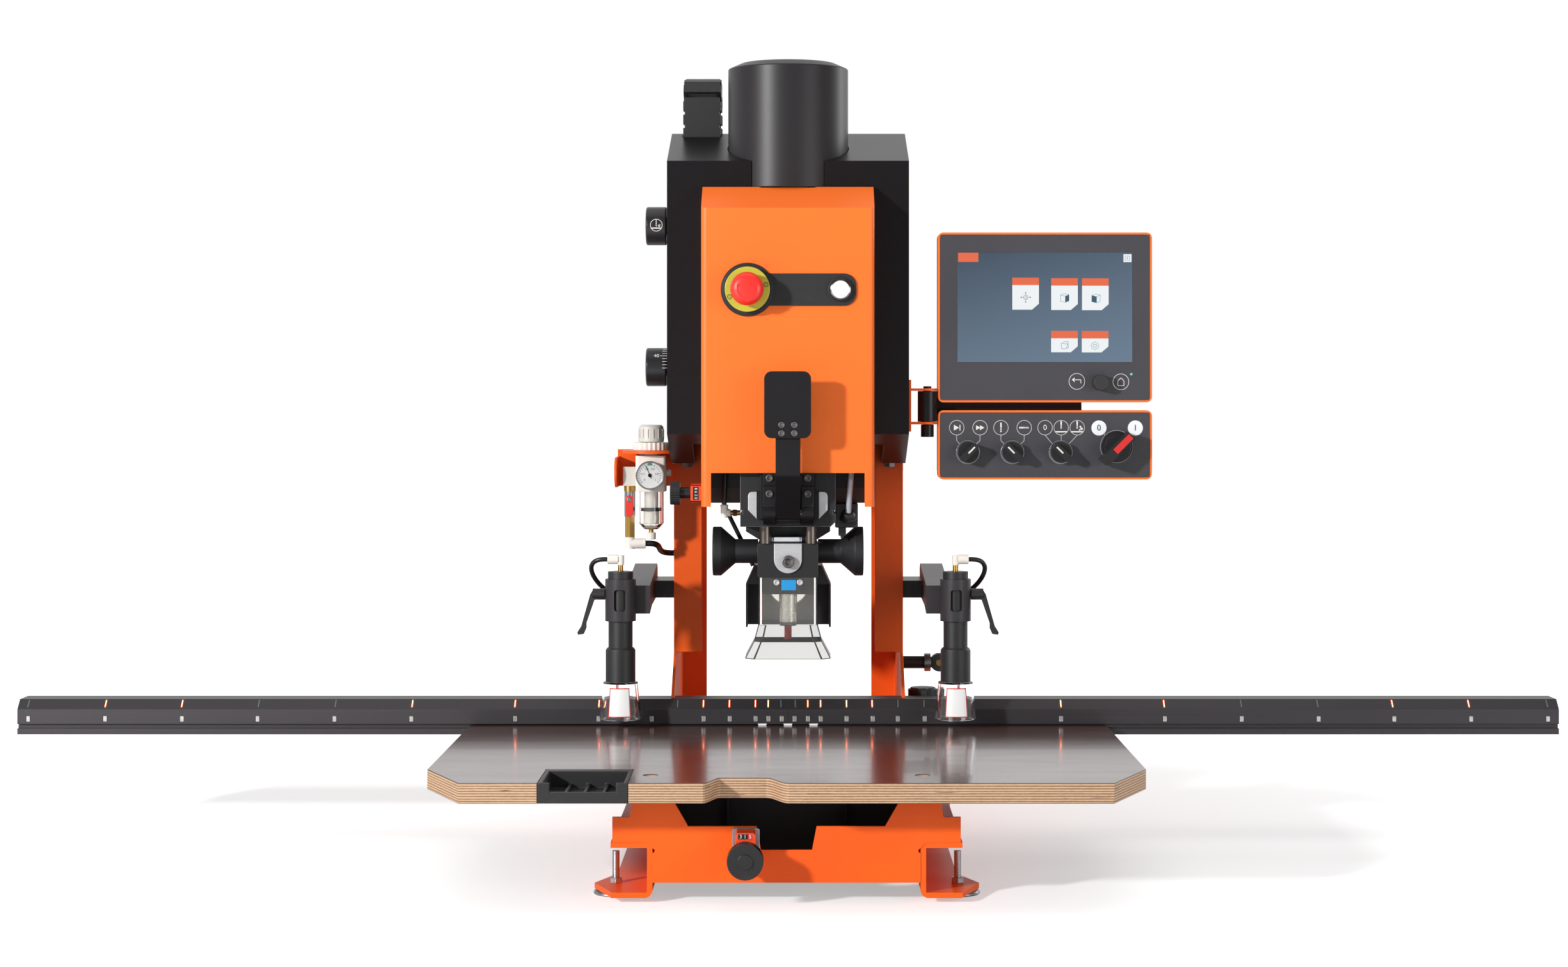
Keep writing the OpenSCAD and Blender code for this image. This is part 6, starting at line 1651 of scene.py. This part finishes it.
# Printed signs: single step and run over the first switch, upright and lying bit over the second,
# nought, boring and boring with suction over the third, and 0 and 1 over the main switch.
SIGN_Z = 0.5155
SIGN_RADIUS = 0.0093
SIGN_LINE = 0.0005
STEP_X, RUN_X, UPRIGHT_X, LYING_X = 0.2095, 0.2384, 0.2644, 0.2933
OFF_X, BORE_X, SUCTION_X = 0.3192, 0.3392, 0.3591
ZERO_X, ONE_X = 0.3861, 0.4313
PLATE_Z = SIGN_Z - 0.0004
BIT_HALF = 0.00095
BIT_SPANS = ((0.0, 0.46), (0.52, 0.62), (0.68, 0.78), (0.84, 0.96))
FLUTE_SLANT = 0.0007
BAR_HALF, BAR_Z = 0.0076, SIGN_Z - 0.0051
LEADER_WIDTH = 0.00045
LEADER_TOP = SIGN_Z - SIGN_RADIUS
LEADER_KNEE = LEADER_TOP - 0.0068
LEADER_END = 0.0104


def triangle(x, z, size):
    """A filled triangle that points to the right"""
    corners = ((x - size * 0.5, z + size * 0.6), (x - size * 0.5, z - size * 0.6), (x + size * 0.6, z))
    return printed(corners, SWITCH_FACE)


def bit_sign(x, z, upright, length=0.0126):
    """A drill bit: a plain shank and three slanted flutes, upright with its tip down or lying"""
    parts = []
    for i, (start, stop) in enumerate(BIT_SPANS):
        slant = FLUTE_SLANT if i else 0.0
        low, high = length * (0.5 - stop), length * (0.5 - start)
        corners = ((-BIT_HALF, high), (-BIT_HALF, low), (BIT_HALF, low + slant), (BIT_HALF, high + slant))
        outline = [(x + a, z + b) if upright else (x - b, z + a) for a, b in corners]
        parts.append(printed(outline, SWITCH_FACE))
    return parts


def selector_corner(name, side):
    """Where a leader ends: at a selector's upper left (-1) or upper right (1)"""
    x, z = SELECTORS[name]
    return (x + side * LEADER_END, z + LEADER_END)


signs = [
    hoop(x, SIGN_Z, SIGN_RADIUS, SIGN_LINE, SWITCH_FACE)
    for x in (STEP_X, RUN_X, UPRIGHT_X, LYING_X, OFF_X, BORE_X, SUCTION_X)
]
signs.append(triangle(STEP_X - 0.0006, SIGN_Z, 0.0060))
signs += stroke(((STEP_X + 0.0040, SIGN_Z - 0.0036), (STEP_X + 0.0040, SIGN_Z + 0.0036)), 0.0011, SWITCH_FACE)
signs += [triangle(RUN_X + across, SIGN_Z, 0.0050) for across in (-0.0024, 0.0024)]
signs += bit_sign(UPRIGHT_X, SIGN_Z, True) + bit_sign(LYING_X, SIGN_Z, False)
signs.append(figure("0", 0.0092, (OFF_X, SWITCH_FACE - FILM, SIGN_Z)))
for x in (BORE_X, SUCTION_X):
    signs += bit_sign(x, SIGN_Z + 0.0032, True, 0.0100)
    signs += stroke(((x - BAR_HALF, BAR_Z), (x + BAR_HALF, BAR_Z)), 0.0016, SWITCH_FACE)
for lift, across, size in ((0.0012, 0.0040, 0.0012), (-0.0014, 0.0054, 0.0016), (-0.0028, 0.0030, 0.0010)):
    signs.append(disc(SUCTION_X + across, SIGN_Z + lift, size, SWITCH_FACE))
for leader in (
    ((STEP_X, LEADER_TOP), (STEP_X, LEADER_KNEE), selector_corner("selector_1", -1)),
    ((RUN_X, LEADER_TOP), (RUN_X, LEADER_KNEE), selector_corner("selector_1", 1)),
    ((UPRIGHT_X, LEADER_TOP), (UPRIGHT_X, LEADER_KNEE), selector_corner("selector_2", -1)),
    ((LYING_X, LEADER_TOP), (LYING_X, LEADER_KNEE), selector_corner("selector_2", 1)),
    ((OFF_X, LEADER_TOP), selector_corner("selector_3", -1)),
    ((BORE_X, LEADER_TOP), (BORE_X, SELECTORS["selector_3"][1] + 0.0148)),
    ((SUCTION_X, LEADER_TOP), selector_corner("selector_3", 1)),
    ((ZERO_X + 0.0062, SIGN_Z - 0.0060), (MAIN_X - 0.0148, MAIN_Z + 0.0144)),
    ((ONE_X - 0.0062, SIGN_Z - 0.0060), (MAIN_X + 0.0148, MAIN_Z + 0.0144)),
):
    signs += stroke(leader, LEADER_WIDTH, SWITCH_FACE)
at_origin(joined(signs, "switch_signs"), white_print, "panels")
plates = joined([disc(x, PLATE_Z, 0.0094, SWITCH_FACE) for x in (ZERO_X, ONE_X)], "main_switch_plates")
at_origin(plates, finish("sign_white", plastic(colour(240, 243, 246), 0.4)), "panels")
numbers = joined([
    figure(text, 0.0104, (x, SWITCH_FACE - FILM - PRINT / 2, PLATE_Z))
    for text, x in (("0", ZERO_X), ("1", ONE_X))
], "main_switch_numbers")
at_origin(numbers, sign_black, "panels")
